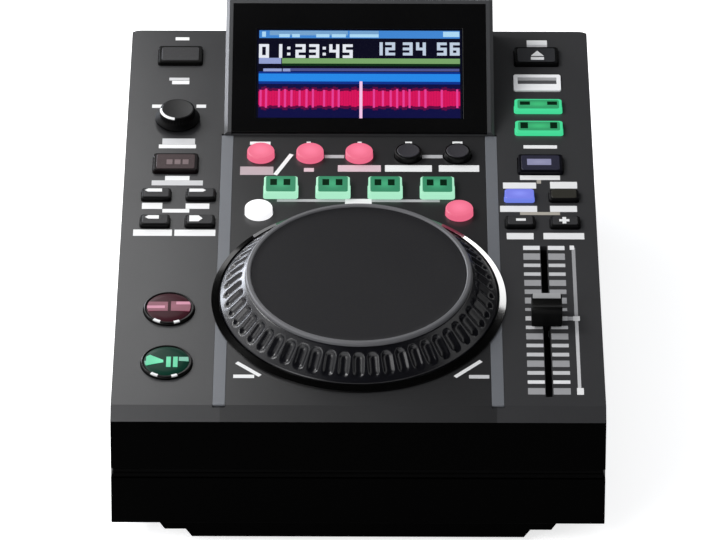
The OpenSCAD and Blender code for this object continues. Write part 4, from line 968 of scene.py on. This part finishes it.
# %% Finishes of the caps
CAP_FINISHES = {
    "cap_grey": dict(colour=(0.028, 0.028, 0.030), rough=0.45, depth=0.006, specular=0.2),
    "cap_coal": dict(colour=(0.030, 0.029, 0.035), rough=0.4, depth=0.006, specular=0.3),
    "cap_brown": dict(colour=(0.042, 0.026, 0.028), rough=0.42, depth=0.006, specular=0.2),
    "cap_dark": dict(colour=(0.020, 0.021, 0.025), rough=0.38, depth=0.006),
    "cap_violet": dict(colour=(0.014, 0.014, 0.034), rough=0.35, depth=0.006),
    "cap_olive": dict(colour=(0.019, 0.018, 0.012), rough=0.4, depth=0.006),
}
caps = {name: finish(name, **values) for name, values in CAP_FINISHES.items()}
caps["cap_green"] = lit("cap_green", (0.05, 0.58, 0.22), (0.03, 0.36, 0.15), 0.8,
                        body=(0.01, 0.05, 0.02))
caps["cap_jade"] = lit("cap_jade", (0.06, 0.44, 0.22), (0.035, 0.26, 0.14), 0.8,
                       body=(0.01, 0.05, 0.02))
caps["cap_blue"] = lit("cap_blue", (0.25, 0.29, 0.92), (0.19, 0.22, 0.80), 0.95,
                       body=(0.02, 0.02, 0.06))
print("finishes of caps:", len(caps))

# %% Flat caps
BUTTON_TOP, PAD_TOP, CAP_RISE = 2.0, 2.9, 0.22
LEFT_X, RIGHT_X, PAIR_X = -84.5, 83.5, 10.2
LEFT_PAIR = [-82.5 - PAIR_X, -82.5 + PAIR_X]
RIGHT_PAIR = [RIGHT_X - PAIR_X, RIGHT_X + PAIR_X]
PAD_PITCH = 23.9
FLAT_CAPS = [
    ("back_button", LEFT_X, 257.0, 17.4, 10.4, BUTTON_TOP, "cap_grey", "button_grey"),
    ("shift_button", LEFT_X, 172.9, 17.6, 10.8, BUTTON_TOP, "cap_brown", "button_maroon"),
    ("eject_button", RIGHT_X, 257.0, 17.6, 10.6, BUTTON_TOP, "cap_dark", "button_dark"),
    ("scratch_button", RIGHT_X, 172.9, 17.6, 10.8, BUTTON_TOP, "cap_violet", "button_violet"),
    ("beat_button_1", LEFT_PAIR[0], 149.4, 11.4, 6.2, BUTTON_TOP, "cap_grey", "button_dark"),
    ("beat_button_2", LEFT_PAIR[1], 149.4, 11.4, 6.2, BUTTON_TOP, "cap_grey", "button_dark"),
    ("beat_button_3", LEFT_PAIR[0], 129.6, 11.4, 6.2, BUTTON_TOP, "cap_grey", "button_dark"),
    ("beat_button_4", LEFT_PAIR[1], 129.6, 11.4, 6.2, BUTTON_TOP, "cap_grey", "button_dark"),
    ("range_button_left", RIGHT_PAIR[0], 149.4, 12.6, 7.0, BUTTON_TOP, "cap_blue",
     "button_blue"),
    ("range_button_right", RIGHT_PAIR[1], 149.4, 11.4, 6.2, BUTTON_TOP, "cap_olive",
     "button_dark"),
    ("bend_down_button", RIGHT_PAIR[0], 129.6, 11.4, 6.2, BUTTON_TOP, "cap_grey", "button_dark"),
    ("bend_up_button", RIGHT_PAIR[1], 129.6, 11.4, 6.2, BUTTON_TOP, "cap_grey", "button_dark"),
    ("source_button_1", RIGHT_X, 218.0, 19.4, 6.6, BUTTON_TOP, "cap_green", "button_green"),
    ("source_button_2", RIGHT_X, 201.0, 19.4, 6.6, BUTTON_TOP, "cap_green", "button_green"),
]
for i in range(4):
    FLAT_CAPS.append((f"pad_button_{i + 1}", (i - 1.5) * PAD_PITCH, 155.1, 13.6, 11.4, PAD_TOP,
                      "cap_jade", "button_green"))
for button, x, v, w, l, top, cap_name, slot_name in FLAT_CAPS:
    plate_piece(button + "_cap", [rounded_bar(w, l, 1.0)], top - 0.2, top + CAP_RISE,
                deck_place(x, v), caps[cap_name], button, rim=0.12)
print("caps:", len(FLAT_CAPS))

# %% Round caps on the two dark loop buttons
LOOP_PITCH, LOOP_V = 22.7, 180.6
COAL_DISC = [(0.0, PAD_TOP - 0.2), (5.1, PAD_TOP - 0.2), (5.1, PAD_TOP + 0.1),
             (4.85, PAD_TOP + 0.26), (4.4, PAD_TOP + 0.2), (0.0, PAD_TOP + 0.06)]
for i in (4, 5):
    turned_piece(f"loop_button_{i}_cap", COAL_DISC, deck_place((i - 3) * LOOP_PITCH, LOOP_V),
                 caps["cap_coal"], "button_dark", f"loop_button_{i}", steps=64)
print("round caps:", 2)

# %% [markdown]
# ## Cue and play
#
# These two are low round keys of smoked plastic: a black ring round a slightly domed window with
# a lit sign under it. The ring and the dome are turned shapes, and the signs are thin plates. Two
# small white arcs on each ring's front edge are painted highlights.

# %% Rings and windows
smoked_red = finish("smoked_red", (0.040, 0.010, 0.015), rough=0.3, depth=0.004, specular=0.12,
                    dust=0.0)
smoked_green = finish("smoked_green", (0.004, 0.032, 0.020), rough=0.3, depth=0.004,
                      specular=0.12, dust=0.0)
TRANSPORT = {"cue_button": (66.2, smoked_red, "cue_red"),
             "play_button": (28.5, smoked_green, "play_green")}
RING_PROFILE = [(10.1, 1.0), (11.1, 1.0), (11.1, 1.4), (10.9, 1.55), (10.4, 1.55), (10.1, 1.4)]
WINDOW_PROFILE = [(0.0, 1.1), (10.0, 1.1), (10.0, 1.3), (9.7, 1.5), (7.0, 1.74), (4.0, 1.88),
                  (0.0, 1.94)]
for button, (v, glass, slot_name) in TRANSPORT.items():
    place = deck_place(LEFT_X, v)
    turned_piece(button + "_ring", RING_PROFILE, place, materials["cue_red"], slot_name, button,
                 closed=True)
    turned_piece(button + "_window", WINDOW_PROFILE, place, glass, slot_name, button)
print("rings and windows:", len(TRANSPORT))

# %% Lit signs
sign_pink = lit("sign_pink", (0.78, 0.36, 0.50), (0.66, 0.26, 0.38), 0.9)
sign_rose = lit("sign_rose", (0.30, 0.075, 0.125), (0.24, 0.055, 0.095), 0.9)
sign_mint = lit("sign_mint", (0.14, 0.80, 0.45), (0.10, 0.66, 0.36), 0.95)
sign_jade = lit("sign_jade", (0.22, 0.62, 0.46), (0.18, 0.52, 0.38), 0.9)


def band(inner, outer, low_v, high_v, side, parts=8):
    """A bar from near the middle to a round edge, on the left (-1) or right (1) side."""
    curve = [low_v + (high_v - low_v) * i / parts for i in range(parts + 1)]
    edge = [(side * math.sqrt(outer * outer - v * v), v) for v in curve]
    return [(side * inner, low_v)] + edge + [(side * inner, high_v)]


def arc_mark(inner, outer, middle, spread, parts=6):
    """A short piece of a ring about an angle in degrees."""
    turns = [math.radians(middle - spread + 2 * spread * i / parts) for i in range(parts + 1)]
    return ([(inner * math.cos(t), inner * math.sin(t)) for t in turns]
            + [(outer * math.cos(t), outer * math.sin(t)) for t in reversed(turns)])


SIGN_FOOT = 1.45
SIGNS = {
    ("cue_button", "pink"): (sign_pink, 2.0, [
        band(1.8, 9.7, -1.2, 0.6, -1), band(3.2, 9.7, 1.5, 3.4, 1)]),
    ("cue_button", "rose"): (sign_rose, 1.97, [
        band(0.5, 9.6, -3.0, 3.4, -1), band(0.9, 9.6, -3.0, 3.7, 1)]),
    ("play_button", "mint"): (sign_mint, 2.0, [
        [(-9.0, -3.4), (-9.0, 2.2), (-7.4, 3.6), (-1.4, 0.0), (-1.4, -1.6)],
        bar(0.9, -1.2, 2.0, 7.0), bar(3.9, -1.2, 2.0, 7.0)]),
    ("play_button", "jade"): (sign_jade, 1.97, [
        band(5.4, 9.7, -0.4, 2.2, 1), band(8.2, 9.7, -3.0, -0.6, -1)]),
}
for (button, tint), (glow, top, outlines) in SIGNS.items():
    v, _, slot_name = TRANSPORT[button]
    plate_piece(f"{button}_sign_{tint}", outlines, SIGN_FOOT, top, deck_place(LEFT_X, v), glow,
                button)
# Two small white arcs on each ring's front edge: painted highlights of its glossy edge, in the white of the print.
for button, (v, _, _) in TRANSPORT.items():
    plate_piece(button + "_painted_highlights", [arc_mark(10.0, 11.25, middle, spread)
                                    for middle, spread in ((-119, 9), (-70, 7))],
                1.0, 1.62, deck_place(LEFT_X, v), ink_white, button)
print("signs:", len(SIGNS))

# %% [markdown]
# ## Print on the deck
#
# Labels on such a player are screen printed: a film of ink that stands a few hundredths of a
# millimetre proud. They could be painted in the deck's material with masks, but thin closed
# plates are easier to place and to move, and they keep their crisp edges in every view. There is
# no lettering here, only plain bars where a label would be. One table holds every bar by ink, as
# the middle across, the middle up the slope, the width and the height in millimetres.

# %% Inks
INKS = {
    "ink_pale": (0.56, 0.56, 0.57),
    "ink_dim": (0.31, 0.31, 0.32),
    "ink_mid": (0.54, 0.54, 0.55),
    "ink_bright": (0.74, 0.74, 0.75),
    "ink_beige": (0.40, 0.37, 0.32),
    "ink_rose": (0.46, 0.36, 0.39),
    "ink_blush": (0.66, 0.48, 0.53),
}
inks = {name: finish(name, colour, rough=0.5, depth=0.003, tone=0.06, dust=0.0)
        for name, colour in INKS.items()}
ink_grey = finish("ink_grey", (0.42, 0.42, 0.43), rough=0.5, depth=0.003, tone=0.08, dust=0.0)
inks.update(ink_white=ink_white, ink_grey=ink_grey)
print("inks:", len(inks))

# %% Bars and strokes on the deck
DECK_BARS = {
    "ink_white": [
        (-84.0, 271.9, 6.5, 2.4), (-83.9, 236.9, 8.1, 2.6), (-94.4, 218.2, 4.7, 2.5),
        (-73.8, 218.3, 4.5, 2.5), (-84.1, 187.1, 17.2, 2.8), (-83.5, 162.9, 11.2, 3.3),
        (-94.4, 142.0, 9.3, 4.5), (-73.7, 141.9, 10.8, 4.0), (-83.5, 138.4, 12.3, 2.7),
        (-93.6, 122.1, 17.6, 4.6), (-74.4, 122.1, 18.6, 4.6), (84.1, 269.7, 9.6, 3.6),
        (83.8, 187.6, 15.5, 2.5), (83.1, 164.1, 18.4, 3.4), (73.6, 158.1, 15.2, 4.5),
        (93.8, 158.5, 12.4, 5.0), (72.8, 140.6, 16.9, 4.5), (93.3, 140.7, 12.3, 4.5),
        (73.1, 120.4, 12.2, 4.6), (92.9, 120.5, 18.5, 4.6), (-45.8, 189.8, 9.5, 2.3),
        (-23.4, 189.9, 1.9, 2.3), (0.2, 190.0, 1.9, 2.3), (22.9, 189.9, 3.1, 2.8),
        (45.5, 190.1, 4.6, 2.8), (22.7, 170.8, 21.6, 4.9), (46.0, 170.9, 18.6, 4.9),
        (-0.3, 145.4, 12.2, 4.5), (-50.4, 19.7, 9.2, 2.3)],
    "ink_pale": [
        (-84.6, 239.6, 9.4, 2.2), (-83.6, 190.9, 15.1, 4.5), (-83.4, 159.3, 23.5, 3.7),
        (53.0, 19.9, 8.9, 2.4), (84.1, 267.0, 9.6, 1.6)],
    "ink_grey": [
        (-11.4, 179.7, 9.0, 2.4), (33.8, 179.9, 9.4, 2.5), (-22.0, 146.4, 31.0, 1.9),
        (21.4, 146.4, 31.0, 1.9)],
    "ink_beige": [(82.5, 137.2, 18.2, 2.2), (82.5, 161.0, 2.0, 2.6)],
    "ink_rose": [(-47.1, 168.7, 15.3, 6.3)],
    "ink_blush": [(-23.1, 169.5, 4.6, 2.8), (0.1, 170.7, 19.8, 4.9)],
}
DECK_STROKES = {
    "ink_white": [(-31.2, 181.4, -38.6, 165.6, 2.0), (-53.7, 29.3, -43.2, 20.1, 1.9),
                  (54.0, 30.9, 42.4, 19.7, 1.9)],
}
INK_LOW, INK_HIGH = -0.05, 0.05
for ink_name, bars in DECK_BARS.items():
    outlines = [bar(*one) for one in bars]
    outlines += [stroke(*one) for one in DECK_STROKES.get(ink_name, ())]
    plate_piece("deck_print_" + ink_name[4:], outlines, INK_LOW, INK_HIGH, deck_place(),
                inks[ink_name])
print("bars on the deck:", sum(len(bars) for bars in DECK_BARS.values()))

# %% [markdown]
# ## The fader's scale
#
# Seventeen marks run along each side of the fader's slot, at an even step. Longer and brighter
# marks stand at the middle and the two ends, and a plain line with three blocks runs beside them.

# %% Marks beside the fader
SCALE_STEP = 6.36
SCALE_MIDDLE = 60.9
MARK_LEFT, MARK_RIGHT, MARK_WIDE = 78.0, 89.2, 7.5
WHITE_HIGH = INK_HIGH + 0.03
MARKS = [  # how many steps from the middle, height, ink
    (8, 3.0, "ink_bright"), (7, 4.6, "ink_dim"), (6, 2.4, "ink_mid"), (5, 2.4, "ink_mid"),
    (4, 4.2, "ink_dim"), (3, 3.2, "ink_dim"), (2, 4.2, "ink_dim"), (1, 2.0, "ink_dim"),
    (0, 3.0, "ink_mid"), (-1, 2.3, "ink_mid"), (-2, 4.2, "ink_dim"), (-3, 2.4, "ink_mid"),
    (-4, 2.5, "ink_mid"), (-5, 4.4, "ink_dim"), (-6, 2.5, "ink_mid"), (-7, 2.3, "ink_bright"),
    (-8, 4.4, "ink_dim")]
scale_bars = {
    "ink_white": [(96.9, 60.9, 3.0, 3.2), (97.2, 10.0, 3.0, 4.6), (96.3, 112.0, 2.0, 3.0),
                  (91.9, 60.9, 2.0, 3.0)],
    "ink_bright": [], "ink_mid": [(96.9, 36.0, 1.5, 48.0), (94.2, 60.9, 2.6, 2.6)],
    "ink_dim": [(96.9, 86.0, 1.6, 52.0)]}
for steps_up, tall, ink_name in MARKS:
    v = SCALE_MIDDLE + steps_up * SCALE_STEP
    scale_bars[ink_name].append((MARK_LEFT, v, MARK_WIDE, tall))
    scale_bars[ink_name].append((MARK_RIGHT, v, MARK_WIDE, tall))
for ink_name, bars in scale_bars.items():
    plate_piece("fader_scale_" + ink_name[4:], [bar(*one) for one in bars], INK_LOW,
                WHITE_HIGH if ink_name == "ink_white" else INK_HIGH, deck_place(),
                inks[ink_name])
print("marks:", len(MARKS))

# %% [markdown]
# ## Signs on the buttons
#
# Each sign lies on a button's cap and rides on that button, so it goes down with it. Arrow-ended
# bars stand on the beat buttons, a triangle over a bar on the eject button, a minus and a plus on
# the two pitch buttons, and small dark blocks on the lit ones.

# %% Outlines of the signs
def arrow_bar(w, l, way):
    """A bar with a point at its left (-1) or right (1) end."""
    tip = min(l * 0.6, w * 0.3)
    flat, sharp = -way * w / 2, way * w / 2
    return [(flat, -l / 2), (sharp - way * tip, -l / 2), (sharp, 0), (sharp - way * tip, l / 2),
            (flat, l / 2)]


def plus(w, l, thick):
    """A plus sign."""
    a, b, t = w / 2, l / 2, thick / 2
    return [(-a, -t), (-t, -t), (-t, -b), (t, -b), (t, -t), (a, -t),
            (a, t), (t, t), (t, b), (-t, b), (-t, t), (-a, t)]


print("arrow-ended bar, plus")

# %% Signs on their buttons
ink_night = finish("ink_night", (0.001, 0.018, 0.006), rough=0.4, depth=0.003, specular=0.05,
                   dust=0.0)
ink_lilac = lit("ink_lilac", (0.40, 0.40, 0.62), (0.34, 0.34, 0.55), 0.7)
ink_blush_lit = lit("ink_blush_lit", (0.24, 0.16, 0.17), (0.20, 0.13, 0.14), 0.7)
FLAT_SIGN, PAD_SIGN = BUTTON_TOP + CAP_RISE, PAD_TOP + CAP_RISE
SIGN_RISE = 0.06
EJECT_SIGN = [[(-3.1, -0.6), (3.1, -0.6), (0, 3.6)], bar(0, -2.6, 6.2, 2.2)]
BUTTON_SIGNS = [
    ("beat_button_1", ink_white, -94.0, 151.0, FLAT_SIGN, [arrow_bar(7.8, 2.3, -1)]),
    ("beat_button_2", ink_white, -73.8, 151.0, FLAT_SIGN, [arrow_bar(7.6, 2.3, 1)]),
    ("beat_button_3", ink_white, -94.1, 130.9, FLAT_SIGN, [arrow_bar(6.3, 2.5, -1)]),
    ("beat_button_4", ink_white, -74.1, 130.0, FLAT_SIGN, [arrow_bar(6.0, 4.4, 1)]),
    ("shift_button", ink_blush_lit, -83.6, 172.4, FLAT_SIGN,
     [bar(-3.7, 0, 2.7, 3.6), bar(0, 0, 2.7, 3.6), bar(3.7, 0, 2.7, 3.6)]),
    ("eject_button", ink_white, 84.0, 256.6, FLAT_SIGN, EJECT_SIGN),
    ("scratch_button", ink_lilac, 82.9, 173.2, FLAT_SIGN, [bar(0, 0, 11.1, 4.6)]),
    ("source_button_1", ink_night, RIGHT_X, 218.6, FLAT_SIGN,
     [bar(-6.2, 0, 4.7, 2.6), bar(6.5, 0, 4.6, 2.6)]),
    ("source_button_2", ink_night, RIGHT_X, 201.3, FLAT_SIGN,
     [bar(-6.9, 0, 3.5, 4.6), bar(6.8, 0, 3.3, 4.6)]),
    ("bend_down_button", ink_white, 73.6, 129.8, FLAT_SIGN, [bar(0, 0, 4.4, 1.7)]),
    ("bend_up_button", ink_white, 93.3, 129.4, FLAT_SIGN, [plus(4.6, 4.8, 1.7)]),
]
for i in range(4):
    BUTTON_SIGNS.append((f"pad_button_{i + 1}", ink_night, (i - 1.5) * PAD_PITCH - 0.25, 156.2,
                         PAD_SIGN, [bar(-3.05, 0, 3.1, 4.5), bar(3.05, 0, 3.1, 4.5)]))
for button, ink, x, v, top, outlines in BUTTON_SIGNS:
    plate_piece(button + "_sign", outlines, top - 0.1, top + SIGN_RISE, deck_place(x, v), ink,
                button)
print("signs on buttons:", len(BUTTON_SIGNS))

# %% [markdown]
# ## What the display shows
#
# A real player's display is drawn by its own program. Here it is a plain picture of the same
# kind: a bar with small blocks, a tempo, a running time, a row of cells and a wave of the track
# with a line at the playing point. Each part is a thin plate just above the glass that shines by
# itself. Colours are written as a screen gives them, from 0 to 255, and turned into light.

# %% Places and colours on the display
DISPLAY_V, DISPLAY_N, DISPLAY_TILT = 196.0, 1.9, math.radians(19)
FACE_UP = UP_DECK * math.cos(DISPLAY_TILT) + OFF_DECK * math.sin(DISPLAY_TILT)
FACE_OUT = OFF_DECK * math.cos(DISPLAY_TILT) - UP_DECK * math.sin(DISPLAY_TILT)
GLASS_TOP = -0.4
face_turn = Matrix((ACROSS, FACE_UP, FACE_OUT)).transposed().to_4x4()
display_place = (Matrix.Translation(deck_point(0, DISPLAY_V, DISPLAY_N)) @ face_turn
                 @ Matrix.Scale(MM, 4))


def screen_light(red, green, blue):
    """A colour written from 0 to 255, as light."""
    return tuple((part / 255) ** 2.2 for part in (red, green, blue))


SCREEN_TINTS = {
    "navy": (14, 15, 66), "night": (2, 4, 28), "sky": (66, 132, 208), "haze": (116, 160, 202),
    "mist": (170, 214, 242), "chalk": (228, 232, 240), "pearl": (190, 204, 222),
    "leaf": (120, 162, 104), "moss": (10, 46, 14), "lilac": (146, 158, 206),
    "plum": (82, 84, 138), "royal": (12, 52, 138), "azure": (40, 134, 230),
    "wine": (92, 6, 62), "berry": (212, 20, 88), "orchid": (226, 66, 148),
    "playhead": (244, 196, 232)}
screens = {name: lit("screen_" + name, screen_light(*tint), screen_light(*tint), 1.0,
                     body=(0.002, 0.002, 0.004), rough=0.12, pixels=True)
           for name, tint in SCREEN_TINTS.items()}
print("screen colours:", len(screens))

# %% Digits from seven strokes
STROKES_OF = {"0": "abcdef", "1": "bc", "2": "abged", "3": "abgcd", "4": "fgbc", "5": "afgcd",
              "6": "afgecd"}


def digit_bars(sign, x, u, w, l, thick):
    """The bars of one digit about a point: a, b, c, d, e, f go round it and g is its middle."""
    side, half, mid = (w - thick) / 2, (l - thick) / 2, l / 4
    bars = {"a": (0, half, w, thick), "d": (0, -half, w, thick), "g": (0, 0, w, thick),
            "b": (side, mid, thick, l / 2), "c": (side, -mid, thick, l / 2),
            "e": (-side, -mid, thick, l / 2), "f": (-side, mid, thick, l / 2)}
    return [(x + bx, u + bu, bw, bl) for bx, bu, bw, bl in (bars[s] for s in STROKES_OF[sign])]


def number_bars(digits, u, w, l, thick):
    """The bars of a row of digits, given as pairs of a digit and its middle across."""
    return [one for sign, x in digits for one in digit_bars(sign, x, u, w, l, thick)]


TIME_DIGITS = [("0", -44.7), ("1", -38.5), ("2", -27.6), ("3", -21.2), ("4", -11.8), ("5", -5.5)]
TIME_COLONS = [(x, 46.0 + up, 1.5, 1.5) for x in (-33.1, -16.5) for up in (-1.7, 1.7)]
SMALL_DIGITS = [("1", 8.6), ("2", 14.4), ("3", 22.6), ("4", 28.8), ("5", 38.6), ("6", 44.6)]
print("digits:", len(TIME_DIGITS) + len(SMALL_DIGITS))

# %% The track's wave
SCREEN_WIDE = 94.0
WAVE_U, WAVE_BARS = 19.1, 76
wave_step = SCREEN_WIDE / WAVE_BARS
wave = {"wine": [], "berry": [], "orchid": []}
for i in range(WAVE_BARS):
    x = -SCREEN_WIDE / 2 + wave_step * (i + 0.5)
    swell = abs(math.sin(i * 0.83) * math.sin(i * 0.37 + 1.0)) + 0.35 * abs(math.sin(i * 2.3))
    wave["wine"].append((x, WAVE_U, wave_step, 10.2 + 2.4 * swell))
    wave["berry"].append((x, WAVE_U, wave_step * 0.96, 7.6 + 1.6 * swell))
for x in (-46.0, -43.4, -37.4, -34.6, -31.6, -27.8, -24.6, -21.6, -16.4, -12.4, -9.6, 6.8, 11.0,
          14.6, 17.6, 20.6, 23.4, 27.8, 30.8, 38.4, 45.6):
    wave["orchid"].append((x, WAVE_U, 1.0, 8.6 + 2.2 * abs(math.sin(x * 1.7))))
print("wave:", {tint: len(bars) for tint, bars in wave.items()})

# %% Layers of the picture, from the back to the front
LAYER_RISE = 0.015
SCREEN_LAYERS = [
    ("night", [(0, 33.25, 95.6, 50.1)]),
    ("navy", [(0, 18.0, SCREEN_WIDE, 19.4)]),
    ("sky", [(0, 55.6, SCREEN_WIDE, 4.4)]),
    ("haze", [(-23.8, 56.3, 36.6, 2.6), (2.2, 56.3, 13.6, 2.6)]),
    ("mist", [(-44.8, 55.6, 1.8, 3.0), (-35.2, 54.8, 5.0, 1.8), (-29.8, 54.8, 3.6, 1.8),
              (-17.2, 54.8, 6.2, 1.8), (-9.7, 54.8, 6.6, 1.8), (2.2, 54.8, 13.6, 1.8),
              (43.0, 55.8, 7.6, 3.0)]),
    ("chalk", number_bars(TIME_DIGITS, 46.0, 4.7, 7.8, 1.5) + TIME_COLONS),
    ("pearl", number_bars(SMALL_DIGITS, 47.4, 4.6, 7.4, 1.5)),
    ("leaf", [(5.4, 40.4, 83.2, 2.9)]),
    ("moss", [(5.4, 38.2, 83.2, 1.3)]),
    ("lilac", [(-41.8, 40.4, 10.4, 3.2), (-40.6, 35.2, 8.6, 1.5), (-34.0, 35.2, 3.6, 1.5)]),
    ("plum", [(7.2, 35.4, 79.0, 1.4)]),
    ("royal", [(0, 33.6, SCREEN_WIDE, 1.2), (0, 28.0, SCREEN_WIDE, 1.4)]),
    ("azure", [(0, 30.9, SCREEN_WIDE, 4.3)]),
    ("wine", wave["wine"]),
    ("berry", wave["berry"]),
    ("orchid", wave["orchid"]),
    ("playhead", [(0.75, 18.4, 1.4, 20.6)]),
]
for layer, (tint, bars) in enumerate(SCREEN_LAYERS):
    plate_piece("display_" + tint, [bar(*one) for one in bars], GLASS_TOP - 0.05,
                GLASS_TOP + 0.04 + LAYER_RISE * layer, display_place, screens[tint])
print("display layers:", len(SCREEN_LAYERS))

# %% [markdown]
# ## The disc slot's felt
#
# Two lips of black felt close the gap in the front, so that dust stays out while a disc can still
# push through. They meet at a hairline, a little behind the front's surface.

# %% Felt lips
DISC_Z = 39.9
GAP_HALF = 2.45
FELT_HALF_WIDTH = 107.6
FELT_IN, FELT_OUT = 2.9, 0.5
HAIRLINE = 0.18
felt = finish("black_felt", (0.0012, 0.0012, 0.0012), rough=0.95, grain=1800, depth=0.12,
              specular=0.03, dust=0.0)
front_face_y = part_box("front_fascia")[0][1] / MM
FELT_SIDE = [(FELT_IN, GAP_HALF), (FELT_OUT + 0.5, GAP_HALF), (FELT_OUT, GAP_HALF - 0.5),
             (FELT_OUT, HAIRLINE + 0.4), (FELT_OUT + 0.5, HAIRLINE), (FELT_IN, HAIRLINE)]
for lip, side in (("low", -1), ("high", 1)):
    shape = bmesh.new()
    rows = [add_row(shape, Matrix.Scale(MM, 4), [
        (x, front_face_y + y, DISC_Z + side * near) for y, near in FELT_SIDE])
        for x in (-FELT_HALF_WIDTH, FELT_HALF_WIDTH)]
    join_rows(shape, rows)
    cap_rows(shape, rows)
    close_piece("slot_felt_" + lip, shape, felt)
print("front face at", round(front_face_y, 2), "mm")

# %% [markdown]
# ## The stick port's inside
#
# The port for a memory stick has a white frame with a small door in two halves, and a dark
# tongue shows between them.

# %% Port door and tongue
PORT_V = 237.2
PORT_LIP = 0.6
port_grey = finish("port_grey", (0.085, 0.085, 0.09), rough=0.4, depth=0.004, dust=0.0)
port_mist = finish("port_mist", (0.40, 0.40, 0.41), rough=0.4, depth=0.004, dust=0.0)
port_place = deck_place(RIGHT_X, PORT_V)
for name, outline, top, rim, look in (
        ("door_low", bar(0, -3.3, 20.2, 4.2), 0.05, 0.1, materials["port_white"]),
        ("door_high", bar(0, 3.55, 20.2, 3.7), 0.05, 0.1, port_mist),
        ("tongue", bar(0, 0.25, 18.8, 2.9), 0.35, 0.0, port_grey)):
    plate_piece("usb_port_" + name, [outline], PORT_LIP - 0.9, PORT_LIP - top, port_place, look,
                rim=rim)
print("port door at", PORT_V, "mm up the deck")

# %% [markdown]
# ## Colours on the audio jacks
#
# The round jacks at the back have a coloured plastic ring each, so that a cable finds its place
# without a label: red and white for the two sides of the sound, amber for the digital signal.

# %% Jack rings
JACK_XS = (0.0, 16.0, 32.0)
JACK_FACE_Y, JACK_Z = 136.56, 39.9
JACK_RING = [(4.2, 0.0), (5.6, 0.0), (5.6, 0.5), (5.3, 0.8), (4.2, 0.8)]
JACK_TINTS = [("white", (0.75, 0.75, 0.75)), ("red", (0.50, 0.015, 0.015)),
              ("amber", (0.62, 0.17, 0.01))]
for x, (tint, colour) in zip(JACK_XS, JACK_TINTS):
    place = (Matrix.Translation(Vector((x, JACK_FACE_Y, JACK_Z)) * MM)
             @ Matrix.Rotation(-math.pi / 2, 4, "X") @ Matrix.Scale(MM, 4))
    plastic = finish("jack_" + tint, colour, rough=0.35, depth=0.004, dust=0.0)
    turned_piece("jack_ring_" + tint, JACK_RING, place, plastic, "socket_metal", steps=48,
                 closed=True)
print("jack rings:", len(JACK_TINTS))

# %% Finish
bpy.context.scene.view_settings.view_transform = "Standard"
